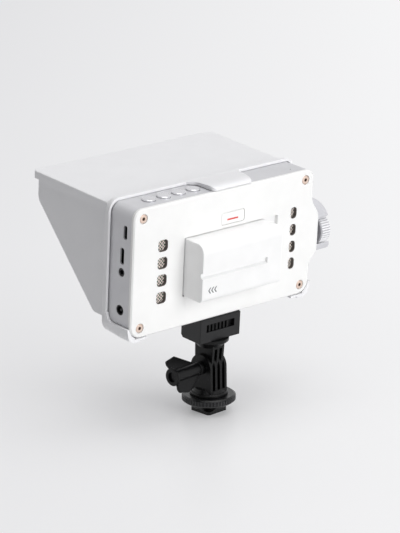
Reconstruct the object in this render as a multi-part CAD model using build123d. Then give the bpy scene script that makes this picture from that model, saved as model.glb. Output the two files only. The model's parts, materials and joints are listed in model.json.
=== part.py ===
from build123d import *
import os
from math import cos, radians, sin

# A camera field monitor with its folding sun hood, its battery and its shoe mount.
#
# All sizes are in millimetres. The part stands on its shoe foot: the origin is the middle of the
# foot's bottom face, +Z is up, +X runs along the tilt hinge towards the wing knob and +Y is the
# rear, where the operator plugs in the battery. The screen looks towards -Y.
#
# The monitor head is drawn square, in its own frame, and is then put on the hinge. In that frame
# y = 0 is the rear face of the back cover, x = 0 and z = 0 are the middle of the body, +X is the
# side with the sockets and +Z is the top with the buttons.

os.makedirs("parts", exist_ok=True)

# ---- clearances ----
MOVING_GAP = 0.3        # between pieces that move past each other
RUNNING_FIT = 0.05      # radial, between a pin and its bore
SEAT_FIT = 0.1          # radial, round a fixed screw or insert
WALL_GAP = 0.5          # between the boards and the inside of the frame
RIB_SETBACK = 0.15      # from a wheel's bevel to the ends of its ribs

# ---- pose of the head on the mount ----
HINGE_HEIGHT = 31.8     # tilt hinge above the foot's bottom face
HEAD_TILT = 3.5         # degrees, the head leans back
HEAD_TURN = 3.0         # degrees, the head is turned on its swivel
HINGE_DEPTH = -9.9      # y of the hinge and swivel axis in the head's frame
BLOCK_TO_HINGE = 22.17   # from the block's bottom down to the hinge

# ---- monitor body ----
BODY_WIDTH = 160.4
BODY_HEIGHT = 88.8
BODY_DEPTH = 25.6       # rear face of the cover to the front of the frame
TOP_CORNER = 7.0
BOTTOM_CORNER = 9.0
WALL = 2.3
COVER_THICKNESS = 2.6
COVER_BEVEL = 0.9
GLASS_THICKNESS = 1.1
GLASS_MARGIN = 1.9      # frame rim left round the glass
LEDGE_WIDTH = 5.0
LEDGE_DEPTH = 3.5
LCD_MARGIN_X = 16.2     # from the body's side to the display
LCD_MARGIN_Z = 7.4
SPREADER_THICKNESS = 1.5
BOARD_MARGIN_X = 16.2   # from the body's side to the board
BOARD_MARGIN_Z = 11.4
BOARD_THICKNESS = 1.6
BOARD_REAR = -14.2      # y of the board's rear face, where its parts sit
CHIP_HEIGHT = 2.2
CHIPS = ((-28.0, 4.0, 26.0, 22.0), (14.0, -8.0, 18.0, 18.0), (30.0, 22.0, 20.0, 8.0))
PILLAR_DIAMETER = 5.0
PILLAR_INSET = 4.0

# ---- cover screws ----
SCREW_INSET_X = 8.0     # from the body's side to a screw
SCREW_INSET_Z = 6.7
SCREW_HEAD = 5.8
SCREW_HEAD_HEIGHT = 1.3
SCREW_SOCKET = 2.6      # across the corners of its hexagonal socket
SCREW_SOCKET_DEPTH = 0.8
SCREW_EDGE = 0.35
SCREW_RECESS = 6.8
SCREW_SHANK = 2.4
SCREW_LENGTH = 9.0
BOSS_DIAMETER = 6.4

# ---- vents in the cover ----
VENT_COUNT = 4
VENT_PITCH = 12.05
VENT_HEIGHT = 8.4
VENT_MIDDLE_Z = -2.0
VENT_LEFT_INSET = 25.6  # from the body's side to the middle of the column
VENT_LEFT_WIDTH = 8.6
VENT_RIGHT_INSET = 17.7
VENT_RIGHT_WIDTH = 5.8
VENT_CORNER = 1.5
MESH_THICKNESS = 0.5
MESH_OVERLAP = 1.6

# ---- bulge of the body round the dial ----
BULGE_OUT = 7.0         # the cover's edge beside the dial, beyond the body's side
BULGE_TOP = 24.5
BULGE_STRAIGHT_TOP = 7.5
BULGE_STRAIGHT_BOTTOM = -13.0
BULGE_BOTTOM = -26.5
COWL_OUT = 21.0         # the cowl's tip over the dial, beyond the body's side
COWL_BELLY = (14.0, 15.9)   # a middle point of the cowl's arc, out from the side and up
COWL_TOP = 22.2
COWL_DEPTH = 19.0
COWL_ROUND = 5.0
NOTCH_CLEARANCE = 0.7   # above and below the dial
NOTCH_OUT = 8.4         # the notch's floor, beyond the body's side
LIP_THICKNESS = 2.25    # the bar under the dial, where it is thinnest
LIP_HEIGHT = 5.1        # its rear face
LIP_SETBACK = 0.6
LIP_ROUND = 2.4         # along its lower rear edge
LIP_END_ROUND = 3.0

# ---- dial ----
DIAL_RADIUS = 10.35
DIAL_LENGTH = 9.7
DIAL_FLOOR_GAP = 2.9    # between the notch's floor and the dial
DIAL_Y = -11.0
DIAL_Z = -4.6
DIAL_RIBS = 36
DIAL_RIB_DEPTH = 0.4
DIAL_OUTER_BEVEL = 1.3
DIAL_INNER_BEVEL = 0.5
DIAL_DISH = 9.0         # the shallow dish in its outer face
DIAL_DISH_DEPTH = 0.8
DIAL_SHAFT = 4.0
DIAL_SHAFT_END = 2.0    # from the dial's outer face to the shaft's end
ENCODER_SIZE = 11.0
ENCODER_LENGTH = 10.0

# ---- sockets in the side wall ----
USB_DROP = 16.8         # from the body's top to the middle of the mouth
USB_Y = -8.4
USB_MOUTH = (3.6, 9.6)
HDMI_DROP = 33.5
HDMI_Y = -10.8
HDMI_MOUTH = (3.8, 11.4)
SOCKET_DEPTH = 7.5
SHELL_WALL = 0.35
TONGUE_THICKNESS = 0.7
TONGUE_MARGIN = 1.6     # from the end of a mouth to the end of its tongue
JACK_Y = -11.0
JACK_DROP = 44.7
JACK_BORE = 3.5
JACK_NOSE = 6.0
JACK_DEPTH = 12.0
JACK_BODY = 6.4
NOSE_RECESS = 0.3       # from the body's side to a jack's nose
DC_Y = -11.3
DC_RISE = 17.8          # from the body's bottom
DC_BORE = 5.6
DC_NOSE = 7.2
DC_PIN = 2.0
DC_DEPTH = 9.5
DC_BODY = 8.8

# ---- menu buttons on the top ----
MENU_BUTTONS = 4
MENU_PITCH = 12.75
MENU_FIRST_X = 57.4
MENU_Y = -12.7
MENU_DIAMETER = 9.2
MENU_RISE = 1.2
MENU_TRAVEL = 0.7
MENU_FLANGE = 0.7
FLANGE_REACH = 0.8      # how far a button's flange reaches beyond its cap
SWITCH_SIZE = 4.0
SWITCH_HEIGHT = 2.0
BUTTON_BOARD_THICKNESS = 1.4
BUTTON_BOARD_MARGIN = 6.0
BUTTON_EDGE = 0.4
LAMP_HOLE = 1.0         # the small hole for the lamp beside the buttons
LAMP_INSET = 15.4       # from the body's side
LAMP_Y = -7.9

# ---- battery and its bay ----
BATTERY_LENGTH = 70.8
BATTERY_TOP = 17.1
BATTERY_BOTTOM = -23.0
BATTERY_REAR = 18.5
BATTERY_GROOVE_Z = -4.2
BATTERY_GROOVE_HEIGHT = 3.8
BATTERY_GROOVE_DEPTH = 2.0
BATTERY_GROOVE_END = -22.4
BATTERY_KEEL = (3.6, 2.2)       # the cut along its lower front edge, in and up
BATTERY_LOW_ROUND = 3.3
BATTERY_TOP_ROUND = 6.6
BATTERY_END_ROUND = 0.6
BATTERY_TRAVEL = 8.0
BAY_RUN_OUT = 4.4       # free length of the bay past the battery's travel
BAY_GAP = 0.5
PLATE_THICKNESS = 2.2
PLATE_MARGIN = 1.2
CONTACT_SPAN = (22.1, 31.9)     # x of the contacts' ends
CONTACT_WIDTH = 2.0
CONTACT_DEPTH = 0.8
CONTACT_PITCH = 9.0

# ---- battery release button ----
RELEASE_X = -6.5
RELEASE_RISE = 6.9      # the button's middle above the battery's top
RELEASE_WIDTH = 20.4
RELEASE_HEIGHT = 8.2
RELEASE_TRAVEL = 1.5
RELEASE_FLANGE = 0.8
RELEASE_CORNER = 1.8
RELEASE_EDGE = 0.3
RELEASE_SPRING = 5.0
SPRING_WIRE = 0.6

# ---- tripod insert in the bottom ----
TRIPOD_THREAD = 6.35
INSERT_DIAMETER = 11.0
INSERT_LENGTH = 7.5

# ---- sun hood ----
HOOD_RIM_OVERLAP = 3.1   # how far the rim reaches back over the body
HOOD_RIM_NOSE = 2.4      # how far it stands in front of the body
HOOD_RIM_SIDE_WALL = 1.6
HOOD_RIM_TOP_WALL = 1.8
HOOD_RIM_CORNER = 9.0
HOOD_RIM_ROUND = 3.0
HOOD_EDGE_ROUND = 0.6
HOOD_SIDE_GAP = 0.9
HOOD_SEAT_GAP = 0.5      # between the body and the hood's tab and hooks
HOOD_LIP_MARGIN_X = 6.9  # from the body's side to the rim's window
HOOD_LIP_MARGIN_Z = 6.6
HOOK_SIDE_OUT = 2.2      # the hook's outer face, beyond the body's side
HOOK_SIDE_LEAN = 2.1     # how far its side leans in, down to the bottom
HOOK_BOTTOM_OUT = 3.0    # its bottom face, below the body
HOOK_RISE = 7.4          # its top, above the body's bottom
HOOK_REACH = 9.2         # its inner end, in from the body's side
HOOK_CORNER = 6.5
HOOK_REAR = -0.5
HOOK_STRAIGHT = 11.5     # the length of the hook before it blends into the rim
HOOK_FLARE = 6.0
TAB_RISE = 3.1           # the tab's top above the body
TAB_REAR = -0.5
TAB_LEFT = 11.3
TAB_LEFT_ROUND = 3.5
TAB_RIGHT_REAR = -22.2
TAB_RIGHT_WAIST = -26.6
TAB_RIGHT_NECK = -28.1
TAB_RIGHT_FRONT = -31.3
TAB_RIGHT_ROUND = 1.2
TAB_WAIST_OUT = 11.0     # from the rim back to the waist
TAB_NECK_OUT = 3.8
TAB_FLARE = 5.0          # how much the tab widens where it meets the rim
TAB_SLOPE_START = -7.5
TAB_EDGE = 0.55          # the thickness of its rear edge
TAB_FALL = 1.1           # how much lower its top is at the rim
PANEL_WALL = 1.5
PANEL_LENGTH = 77.3
PANEL_REAR_GAP = 0.65    # from the rim, which its rear edge passes when it lifts
PANEL_REAR_ROUND = 1.4
PANEL_EDGE_ROUND = 0.8
PANEL_REAR_DROP = 1.7    # the panel's rear edge, below the body's top
PANEL_FRONT_DROP = 0.1
PANEL_SIDE_REAR = 0.7    # the panel's rear corner, in from the body's side
PANEL_SIDE_FRONT = 0.8
PANEL_CORNER = 3.5
SKIRT_WALL = 1.1
SKIRT_DROP_REAR = 4.5
SKIRT_DROP_FRONT = 5.2
LIP_DROP = 2.4
FLAP_WALL = 1.5
FLAP_TOP_GAP = 0.4       # under the top panel's skirt
FLAP_BOTTOM_RISE = 7.4   # above the body's bottom
FLAP_SETBACK = 4.8       # behind the top panel's front edge
FLAP_FRONT_HEIGHT = 13.7
FLAP_HEEL_LENGTH = 12.5  # the straight part of its bottom edge
FLAP_FRONT_ROUND = 8.0
FLAP_BOTTOM_ROUND = 6.0
HINGE_PIN = 1.2
HINGE_BARREL = 2.4
HINGE_PIN_OUT = 1.9      # the pins' axis, in front of the rim
TOP_KNUCKLE = (40.0, 60.0)
SIDE_KNUCKLE = (-15.0, 15.0)
LUG_LENGTH = 6.0

# ---- swivel block under the monitor ----
BLOCK_WIDTH = 36.0
BLOCK_FRONT = -19.7
BLOCK_REAR = -0.1
BLOCK_HEIGHT = 16.3
PAD_THICKNESS = 0.8
BLOCK_CHAMFER = 2.2
BLOCK_EDGE = 0.6
WINDOW_WIDTH = 25.0
WINDOW_DROP = 6.45       # the window's middle below the block's top
WINDOW_HEIGHT = 5.4
WINDOW_DEPTH = 3.2
SLIDER_WIDTH = 20.7
SLIDER_RIBS = 6
SLIDER_RIB_PITCH = 3.2
SLIDER_RIB_WIDTH = 1.5
SLIDER_RIB_START = 2.7   # from the slider's end to the middle of its first rib
SLIDER_RIB_DEPTH = 0.4   # the ribs' tops, in from the block's face
SLIDER_FLOOR_DEPTH = 1.6
STUD_PLUG = 9.0
SWIVEL_SCREW = 4.0
SWIVEL_SCREW_HEAD = 8.0
SWIVEL_SEAT_DROP = 10.6  # the swivel screw's seat below the block's top

# ---- tilt hinge ----
PRONG_PITCH = 4.5
UPPER_PRONG = 1.9
UPPER_PRONGS = 3
LOWER_PRONG = 2.0
LOWER_PRONGS = 4
UPPER_KNUCKLE = 7.8
LOWER_KNUCKLE = 9.4
UPPER_SHOULDER = 8.5    # half depth of the upper fork where its slots end
UPPER_SLOT_TOP = 14.7   # above the hinge
LOWER_SLOT_BOTTOM = -15.1
SWIVEL_DISC = 25.7
SWIVEL_DISC_THICKNESS = 3.0
DISC_EDGE = 0.9
BOLT_DIAMETER = 5.0
NUT_FLATS = 8.0
NUT_THICKNESS = 4.4

# ---- wing knob ----
KNOB_COLLAR_LENGTH = 3.85
KNOB_LENGTH = 23.1
KNOB_HUB_START = 4.4
KNOB_HUB_END = 4.7
KNOB_RING = 6.2
KNOB_RING_LENGTH = 2.0
KNOB_COLLAR = 4.6
KNOB_GROOVE = 1.0        # between the collar and the hub
KNOB_SOCKET = 7.0
KNOB_SOCKET_DEPTH = 1.6
BLADE_THICKNESS = 2.2
BLADE_TIP_LENGTH = 9.0   # from the knob's end back to the blades' highest point
BLADE_TIP = 13.2
BLADE_END = 11.6
BLADE_EDGE = 0.5
BLADE_LEAN = 35.7       # degrees, from upright towards the front

# ---- shoe mount ----
FOOT_WIDTH = 18.0
FOOT_THICKNESS = 2.2
FOOT_CHAMFER = 1.3
STUD_DIAMETER = 6.0
STUD_COLLAR = 9.0
STUD_TOP = 15.0
WHEEL_DIAMETER = 36.8
WHEEL_BOTTOM = 7.1
WHEEL_TOP = 12.3
WHEEL_ROUND = 0.9
WHEEL_GROOVES = 51
WHEEL_GROOVE_DEPTH = 0.55
BASE_DISC = 26.0
BASE_DISC_THICKNESS = 2.0


# ---- shared shapes ----
def block(x0, x1, y0, y1, z0, z1):
    """A rectangular block between two opposite corners."""
    size = Box(abs(x1 - x0), abs(y1 - y0), abs(z1 - z0))
    return Pos((x0 + x1) / 2, (y0 + y1) / 2, (z0 + z1) / 2) * size


def rod_x(diameter, x0, x1, y, z):
    """A round rod along X."""
    return Pos((x0 + x1) / 2, y, z) * Rot(0, 90, 0) * Cylinder(diameter / 2, abs(x1 - x0))


def rod_y(diameter, y0, y1, x, z):
    """A round rod along Y."""
    return Pos(x, (y0 + y1) / 2, z) * Rot(90, 0, 0) * Cylinder(diameter / 2, abs(y1 - y0))


def rod_z(diameter, z0, z1, x, y):
    """A round rod along Z."""
    return Pos(x, y, (z0 + z1) / 2) * Cylinder(diameter / 2, abs(z1 - z0))


def slab_y(outline, rear, front):
    """An outline drawn in X and Z, made solid from its rear plane forwards."""
    return extrude(Plane.XZ.offset(-rear) * outline, rear - front)


def slab_x(outline, x0, x1):
    """An outline drawn in Y and Z, made solid between two X planes."""
    return extrude(Plane.YZ.offset(x0) * outline, x1 - x0)


def polygon(*points):
    """A closed flat outline with straight sides."""
    return make_face(Polyline(*points, close=True))


def ribbed_outline(radius, depth, count):
    """A round outline with straight-sided ribs, each as wide as the groove beside it."""
    points = []
    for i in range(count):
        for share, reach in ((0.05, radius), (0.45, radius), (0.6, radius - depth), (0.9, radius - depth)):
            angle = radians((i + share) * 360 / count)
            points.append((reach * cos(angle), reach * sin(angle)))
    return polygon(*points)


def mirrored_pair(shape):
    """The shape and its mirror image on the other side of x = 0."""
    return Compound([shape, mirror(shape, about=Plane.YZ)])


def edges_at_y(shape, y):
    """The edges that lie in one plane across Y."""
    return [e for e in shape.edges() if abs(e.bounding_box().min.Y - y) < 1e-3
            and abs(e.bounding_box().max.Y - y) < 1e-3]


# ---- places that follow from the sizes above ----
HALF_WIDTH = BODY_WIDTH / 2
HALF_HEIGHT = BODY_HEIGHT / 2
SCREW_SPACING_X = BODY_WIDTH - 2 * SCREW_INSET_X
SCREW_SPACING_Z = BODY_HEIGHT - 2 * SCREW_INSET_Z
LCD_WIDTH = BODY_WIDTH - 2 * LCD_MARGIN_X
LCD_HEIGHT = BODY_HEIGHT - 2 * LCD_MARGIN_Z
USB_Z = HALF_HEIGHT - USB_DROP
HDMI_Z = HALF_HEIGHT - HDMI_DROP
JACK_Z = HALF_HEIGHT - JACK_DROP
DC_Z = -HALF_HEIGHT + DC_RISE
BOARD_WIDTH = BODY_WIDTH - 2 * BOARD_MARGIN_X
BOARD_HEIGHT = BODY_HEIGHT - 2 * BOARD_MARGIN_Z
VENT_LEFT_X = HALF_WIDTH - VENT_LEFT_INSET
VENT_RIGHT_X = -HALF_WIDTH + VENT_RIGHT_INSET
BULGE_REACH = HALF_WIDTH + BULGE_OUT
COWL_REACH = HALF_WIDTH + COWL_OUT
NOTCH_FLOOR = HALF_WIDTH + NOTCH_OUT
NOTCH_TOP = DIAL_Z + DIAL_RADIUS + NOTCH_CLEARANCE
NOTCH_BOTTOM = DIAL_Z - DIAL_RADIUS - NOTCH_CLEARANCE
LIP_BOTTOM = NOTCH_BOTTOM - LIP_THICKNESS
LIP_TOP = LIP_BOTTOM + LIP_HEIGHT
DIAL_INNER_X = NOTCH_FLOOR + DIAL_FLOOR_GAP
DIAL_OUTER_X = DIAL_INNER_X + DIAL_LENGTH
RELEASE_Z = BATTERY_TOP + RELEASE_RISE
BAY_FAR_END = BATTERY_LENGTH / 2 + BATTERY_TRAVEL + BAY_RUN_OUT
BLOCK_TOP = -HALF_HEIGHT - PAD_THICKNESS
BLOCK_BOTTOM = BLOCK_TOP - BLOCK_HEIGHT
WINDOW_MIDDLE_Z = BLOCK_TOP - WINDOW_DROP
SWIVEL_HEAD_Z = BLOCK_TOP - SWIVEL_SEAT_DROP
HINGE_DROP = BLOCK_TO_HINGE - BLOCK_BOTTOM
FRAME_REAR = -COVER_THICKNESS
GLASS_REAR = -BODY_DEPTH + GLASS_THICKNESS
LEDGE_REAR = GLASS_REAR + LEDGE_DEPTH
SPREADER_REAR = LEDGE_REAR + SPREADER_THICKNESS
BATTERY_FRONT = FRAME_REAR + MOVING_GAP
BAY_NEAR_END = BATTERY_LENGTH / 2 + BAY_GAP
HOOD_RIM_WIDTH = BODY_WIDTH + 2 * (HOOD_SIDE_GAP + HOOD_RIM_SIDE_WALL)
HOOD_RIM_HEIGHT = BODY_HEIGHT + 2 * (MOVING_GAP + HOOD_RIM_TOP_WALL)
HOOD_RIM_REAR = HOOD_RIM_OVERLAP - BODY_DEPTH
HOOD_RIM_FRONT = -BODY_DEPTH - HOOD_RIM_NOSE
HOOD_LIP_WIDTH = BODY_WIDTH - 2 * HOOD_LIP_MARGIN_X
HOOD_LIP_HEIGHT = BODY_HEIGHT - 2 * HOOD_LIP_MARGIN_Z
HOOK_OUTER_X = HALF_WIDTH + HOOK_SIDE_OUT
HOOK_BOTTOM = -HALF_HEIGHT - HOOK_BOTTOM_OUT
HOOK_TOP = -HALF_HEIGHT + HOOK_RISE
HOOK_INBOARD = HALF_WIDTH - HOOK_REACH
TAB_TOP = HALF_HEIGHT + TAB_RISE
HINGE_PIN_Y = HOOD_RIM_FRONT - HINGE_PIN_OUT
PANEL_REAR = HOOD_RIM_FRONT - PANEL_REAR_GAP
PANEL_FRONT = PANEL_REAR - PANEL_LENGTH
PANEL_REAR_Z = HALF_HEIGHT - PANEL_REAR_DROP
PANEL_FRONT_Z = HALF_HEIGHT - PANEL_FRONT_DROP
PANEL_WIDTH_REAR = BODY_WIDTH - 2 * PANEL_SIDE_REAR
PANEL_WIDTH_FRONT = BODY_WIDTH - 2 * PANEL_SIDE_FRONT
FLAP_OUTER_X = PANEL_WIDTH_FRONT / 2 - SKIRT_WALL - MOVING_GAP - SEAT_FIT
FLAP_TOP_REAR = PANEL_REAR_Z - SKIRT_DROP_REAR - FLAP_TOP_GAP
FLAP_TOP_FRONT = PANEL_FRONT_Z - SKIRT_DROP_FRONT - FLAP_TOP_GAP
FLAP_BOTTOM = -HALF_HEIGHT + FLAP_BOTTOM_RISE
FLAP_FRONT = PANEL_FRONT + FLAP_SETBACK
FLAP_FRONT_BOTTOM = FLAP_TOP_FRONT - FLAP_FRONT_HEIGHT
FLAP_BOTTOM_FRONT = HOOD_RIM_FRONT - FLAP_HEEL_LENGTH
FORK_SIDE = ((LOWER_PRONGS - 1) * PRONG_PITCH + LOWER_PRONG) / 2
KNOB_START = FORK_SIDE + MOVING_GAP + KNOB_COLLAR_LENGTH
KNOB_END = KNOB_START + KNOB_LENGTH
TOP_PIN_Z = PANEL_REAR_Z - PANEL_WALL - MOVING_GAP - HINGE_BARREL / 2
SIDE_PIN_X = FLAP_OUTER_X - FLAP_WALL - MOVING_GAP - HINGE_BARREL / 2
INNER_SIDE = HALF_WIDTH - WALL
INNER_TOP = HALF_HEIGHT - WALL
FLANGE_TOP = INNER_TOP - MOVING_GAP
FLANGE_BOTTOM = FLANGE_TOP - MENU_FLANGE
SWITCH_TOP = FLANGE_BOTTOM - MENU_TRAVEL - MOVING_GAP


# ---- monitor body ----
def body_outline(grow_x=0.0, grow_z=0.0, grow_corner=0.0):
    """The body's outline from the rear: round corners, larger at the bottom."""
    outline = Rectangle(BODY_WIDTH + 2 * grow_x, BODY_HEIGHT + 2 * grow_z)
    outline = fillet(outline.vertices().group_by(Axis.Y)[0], BOTTOM_CORNER + grow_corner)
    return fillet(outline.vertices().group_by(Axis.Y)[-1], TOP_CORNER + grow_corner)


def bulge_outline():
    """The side bulge beside the dial, with an S-curve at each end."""
    top_curve = Spline((-HALF_WIDTH, BULGE_TOP), (-BULGE_REACH, BULGE_STRAIGHT_TOP),
                       tangents=((0, -1), (0, -1)))
    side = Line((-BULGE_REACH, BULGE_STRAIGHT_TOP), (-BULGE_REACH, BULGE_STRAIGHT_BOTTOM))
    low_curve = Spline((-BULGE_REACH, BULGE_STRAIGHT_BOTTOM), (-HALF_WIDTH, BULGE_BOTTOM),
                       tangents=((0, -1), (0, -1)))
    inside = Polyline((-HALF_WIDTH, BULGE_BOTTOM), (-INNER_SIDE, BULGE_BOTTOM),
                      (-INNER_SIDE, BULGE_TOP), (-HALF_WIDTH, BULGE_TOP))
    return make_face(Curve() + [top_curve, side, low_curve, inside])


def screw_places():
    """The four corner screws of the cover."""
    return [(sx * SCREW_SPACING_X / 2, sz * SCREW_SPACING_Z / 2) for sx in (-1, 1) for sz in (-1, 1)]


def vent_places():
    """The heights of the vents in one column."""
    return [VENT_MIDDLE_Z + (i - (VENT_COUNT - 1) / 2) * VENT_PITCH for i in range(VENT_COUNT)]


def bay_outline():
    """The opening of the battery bay, longer than the battery by its travel and more."""
    height = BATTERY_TOP - BATTERY_BOTTOM + 2 * BAY_GAP
    length = BAY_FAR_END + BAY_NEAR_END
    middle = Pos((BAY_NEAR_END - BAY_FAR_END) / 2, (BATTERY_TOP + BATTERY_BOTTOM) / 2)
    return middle * RectangleRounded(length, height, 1.0)


def release_outline(grow=0.0):
    """The battery release button's outline."""
    return Pos(RELEASE_X, RELEASE_Z) * RectangleRounded(
        RELEASE_WIDTH + 2 * grow, RELEASE_HEIGHT + 2 * grow, RELEASE_CORNER + grow)


def back_cover():
    cover = slab_y(body_outline() + bulge_outline(), 0, -COVER_THICKNESS)
    cover = chamfer(edges_at_y(cover, 0), COVER_BEVEL)
    cover -= slab_y(bay_outline(), 1, -COVER_THICKNESS - 1)
    cover -= slab_y(release_outline(MOVING_GAP), 1, -COVER_THICKNESS - 1)
    for z in vent_places():
        for x, width in ((VENT_LEFT_X, VENT_LEFT_WIDTH), (VENT_RIGHT_X, VENT_RIGHT_WIDTH)):
            slot = Pos(x, z) * RectangleRounded(width, VENT_HEIGHT, VENT_CORNER)
            cover -= slab_y(slot, 1, -COVER_THICKNESS - 1)
    for x, z in screw_places():
        cover -= rod_y(SCREW_RECESS, -SCREW_HEAD_HEIGHT, 1, x, z)
        cover -= rod_y(SCREW_SHANK + 2 * SEAT_FIT, -COVER_THICKNESS - 1, 0, x, z)
    return cover


def cowl():
    """The bulge beside the dial, with the wing over the dial and the bar under it."""
    belly = (-HALF_WIDTH - COWL_BELLY[0], COWL_BELLY[1])
    arc = ThreePointArc((-HALF_WIDTH, COWL_TOP), belly, (-COWL_REACH, NOTCH_TOP))
    inside = Polyline((-COWL_REACH, NOTCH_TOP), (-INNER_SIDE, NOTCH_TOP),
                      (-INNER_SIDE, COWL_TOP), (-HALF_WIDTH, COWL_TOP))
    wing = slab_y(make_face(Curve() + [arc, inside]), FRAME_REAR, -COWL_DEPTH)
    rear_arc = [e for e in edges_at_y(wing, FRAME_REAR) if e.geom_type == GeomType.CIRCLE]
    wing = fillet(rear_arc, COWL_ROUND)
    core = slab_y(bulge_outline(), FRAME_REAR, -COWL_DEPTH)
    return core + wing + dial_lip() - dial_notch()


def dial_lip():
    """The bar under the dial, rounded along its lower rear edge and at its end."""
    rear = FRAME_REAR - LIP_SETBACK
    profile = polygon((rear, LIP_TOP), (-COWL_DEPTH, LIP_TOP), (-COWL_DEPTH, LIP_BOTTOM),
                      (rear, LIP_BOTTOM))
    profile = fillet([v for v in profile.vertices() if v.X > rear - 0.1 and v.Y < LIP_TOP - 1],
                     LIP_ROUND)
    outline = polygon((-COWL_REACH, LIP_TOP), (-INNER_SIDE, LIP_TOP), (-INNER_SIDE, LIP_BOTTOM),
                      (-COWL_REACH, LIP_BOTTOM))
    outline = fillet([v for v in outline.vertices() if v.X < -COWL_REACH + 0.1 and v.Y < LIP_TOP - 1],
                     LIP_END_ROUND)
    return slab_x(profile, -COWL_REACH, -INNER_SIDE) & slab_y(outline, rear, -COWL_DEPTH)


def dial_notch():
    """The room that the dial turns in: square above its axis and round below it."""
    outer_x = -COWL_REACH - 1
    square = block(outer_x, -NOTCH_FLOOR, 1, -BODY_DEPTH, DIAL_Z, NOTCH_TOP)
    return square + rod_x(2 * (DIAL_RADIUS + NOTCH_CLEARANCE), outer_x, -NOTCH_FLOOR, DIAL_Y, DIAL_Z)


def mid_frame():
    frame = slab_y(body_outline(), FRAME_REAR, -BODY_DEPTH)
    frame = fillet(edges_at_y(frame, -BODY_DEPTH), 1.0)
    frame += cowl()
    cavity = body_outline(-WALL, -WALL, -WALL)
    frame -= slab_y(cavity, FRAME_REAR + 1, LEDGE_REAR)
    ledge = Rectangle(2 * (INNER_SIDE - LEDGE_WIDTH), 2 * (INNER_TOP - LEDGE_WIDTH))
    frame -= slab_y(ledge, LEDGE_REAR + 1, -BODY_DEPTH - 1)
    glass_seat = body_outline(-GLASS_MARGIN, -GLASS_MARGIN, -GLASS_MARGIN)
    frame -= slab_y(glass_seat, GLASS_REAR, -BODY_DEPTH - 1)
    for x, z in screw_places():
        boss = rod_y(BOSS_DIAMETER, LEDGE_REAR - 1, FRAME_REAR, x, z)
        frame += boss
        frame -= rod_y(SCREW_SHANK + 2 * SEAT_FIT, FRAME_REAR + 1, -SCREW_LENGTH - 2, x, z)
    for x in menu_button_places():
        frame -= rod_z(MENU_DIAMETER + 2 * MOVING_GAP, INNER_TOP - 1, HALF_HEIGHT + 1, x, MENU_Y)
    frame -= rod_z(LAMP_HOLE, INNER_TOP - 1, HALF_HEIGHT + 1, -HALF_WIDTH + LAMP_INSET, LAMP_Y)
    frame -= side_openings()
    frame -= rod_x(DIAL_SHAFT + 2 * MOVING_GAP, -NOTCH_FLOOR - 1, -INNER_SIDE + 1, DIAL_Y, DIAL_Z)
    insert_hole = INSERT_DIAMETER + 2 * SEAT_FIT
    frame -= rod_z(insert_hole, -HALF_HEIGHT - 1, -INNER_TOP + 1, 0, HINGE_DEPTH)
    return frame


def mouth(size, y, z, x0, x1, grow=0.0):
    """A round-cornered socket mouth, given as depth across Y and height along Z."""
    outline = Pos(y, z) * RectangleRounded(size[0] + 2 * grow, size[1] + 2 * grow,
                                           size[0] / 2 - 0.3 + grow)
    return slab_x(outline, x0, x1)


def side_openings():
    """The holes in the +X wall that the four sockets look through."""
    inner, outer = INNER_SIDE - 1, HALF_WIDTH + 1
    holes = mouth(USB_MOUTH, USB_Y, USB_Z, inner, outer)
    holes += mouth(HDMI_MOUTH, HDMI_Y, HDMI_Z, inner, outer)
    holes += rod_x(JACK_NOSE, inner, outer, JACK_Y, JACK_Z)
    holes += rod_x(DC_NOSE, inner, outer, DC_Y, DC_Z)
    return holes


def front_glass():
    inset = GLASS_MARGIN + SEAT_FIT
    glass = slab_y(body_outline(-inset, -inset, -inset), GLASS_REAR, -BODY_DEPTH)
    return glass


def lcd_panel():
    return slab_y(RectangleRounded(LCD_WIDTH, LCD_HEIGHT, 1.0), LEDGE_REAR, GLASS_REAR)


def heat_spreader():
    """A stamped plate behind the screen, with four pillars that carry the board."""
    inset = WALL + 2 * SEAT_FIT
    plate = slab_y(body_outline(-inset, -inset, -inset), SPREADER_REAR, LEDGE_REAR)
    for x, z in screw_places():
        plate -= rod_y(BOSS_DIAMETER + 4 * SEAT_FIT, LEDGE_REAR - 1, SPREADER_REAR + 1, x, z)
        clear = BOSS_DIAMETER / 2 + 2 * SEAT_FIT
        plate -= block(x, x * 1.2, LEDGE_REAR - 1, SPREADER_REAR + 1, z - clear, z + clear)
    for sx in (-1, 1):
        for sz in (-1, 1):
            x = sx * (BOARD_WIDTH / 2 - PILLAR_INSET)
            z = sz * (BOARD_HEIGHT / 2 - PILLAR_INSET)
            plate += rod_y(PILLAR_DIAMETER, LEDGE_REAR, BOARD_REAR - BOARD_THICKNESS, x, z)
    return plate


def main_board():
    """The circuit board, which reaches the sockets' side, with its shielded chips."""
    board = block(-BOARD_WIDTH / 2, INNER_SIDE - WALL_GAP, BOARD_REAR - BOARD_THICKNESS, BOARD_REAR,
                  -BOARD_HEIGHT / 2, BOARD_HEIGHT / 2)
    for x, z, width, height in CHIPS:
        board += block(x - width / 2, x + width / 2, BOARD_REAR, BOARD_REAR + CHIP_HEIGHT,
                       z - height / 2, z + height / 2)
    return board


def board_socket(size, y, z):
    """A stamped shell on the board with a flat tongue inside, just behind its mouth in the wall."""
    x_front = INNER_SIDE + WALL / 2
    x_rear = x_front - SOCKET_DEPTH
    half = size[1] / 2
    bore = mouth(size, y, z, x_rear + 1, x_front + 1, -SEAT_FIT - SHELL_WALL)
    shell = mouth(size, y, z, x_rear, x_front, -SEAT_FIT)
    shell += block(x_rear, INNER_SIDE - WALL_GAP, BOARD_REAR, y, z - half + 1, z + half - 1)
    tongue = block(x_rear, x_front - 1, y - TONGUE_THICKNESS / 2, y + TONGUE_THICKNESS / 2,
                   z - half + TONGUE_MARGIN, z + half - TONGUE_MARGIN)
    return shell - bore + tongue


def usb_socket():
    return board_socket(USB_MOUTH, USB_Y, USB_Z)


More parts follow.
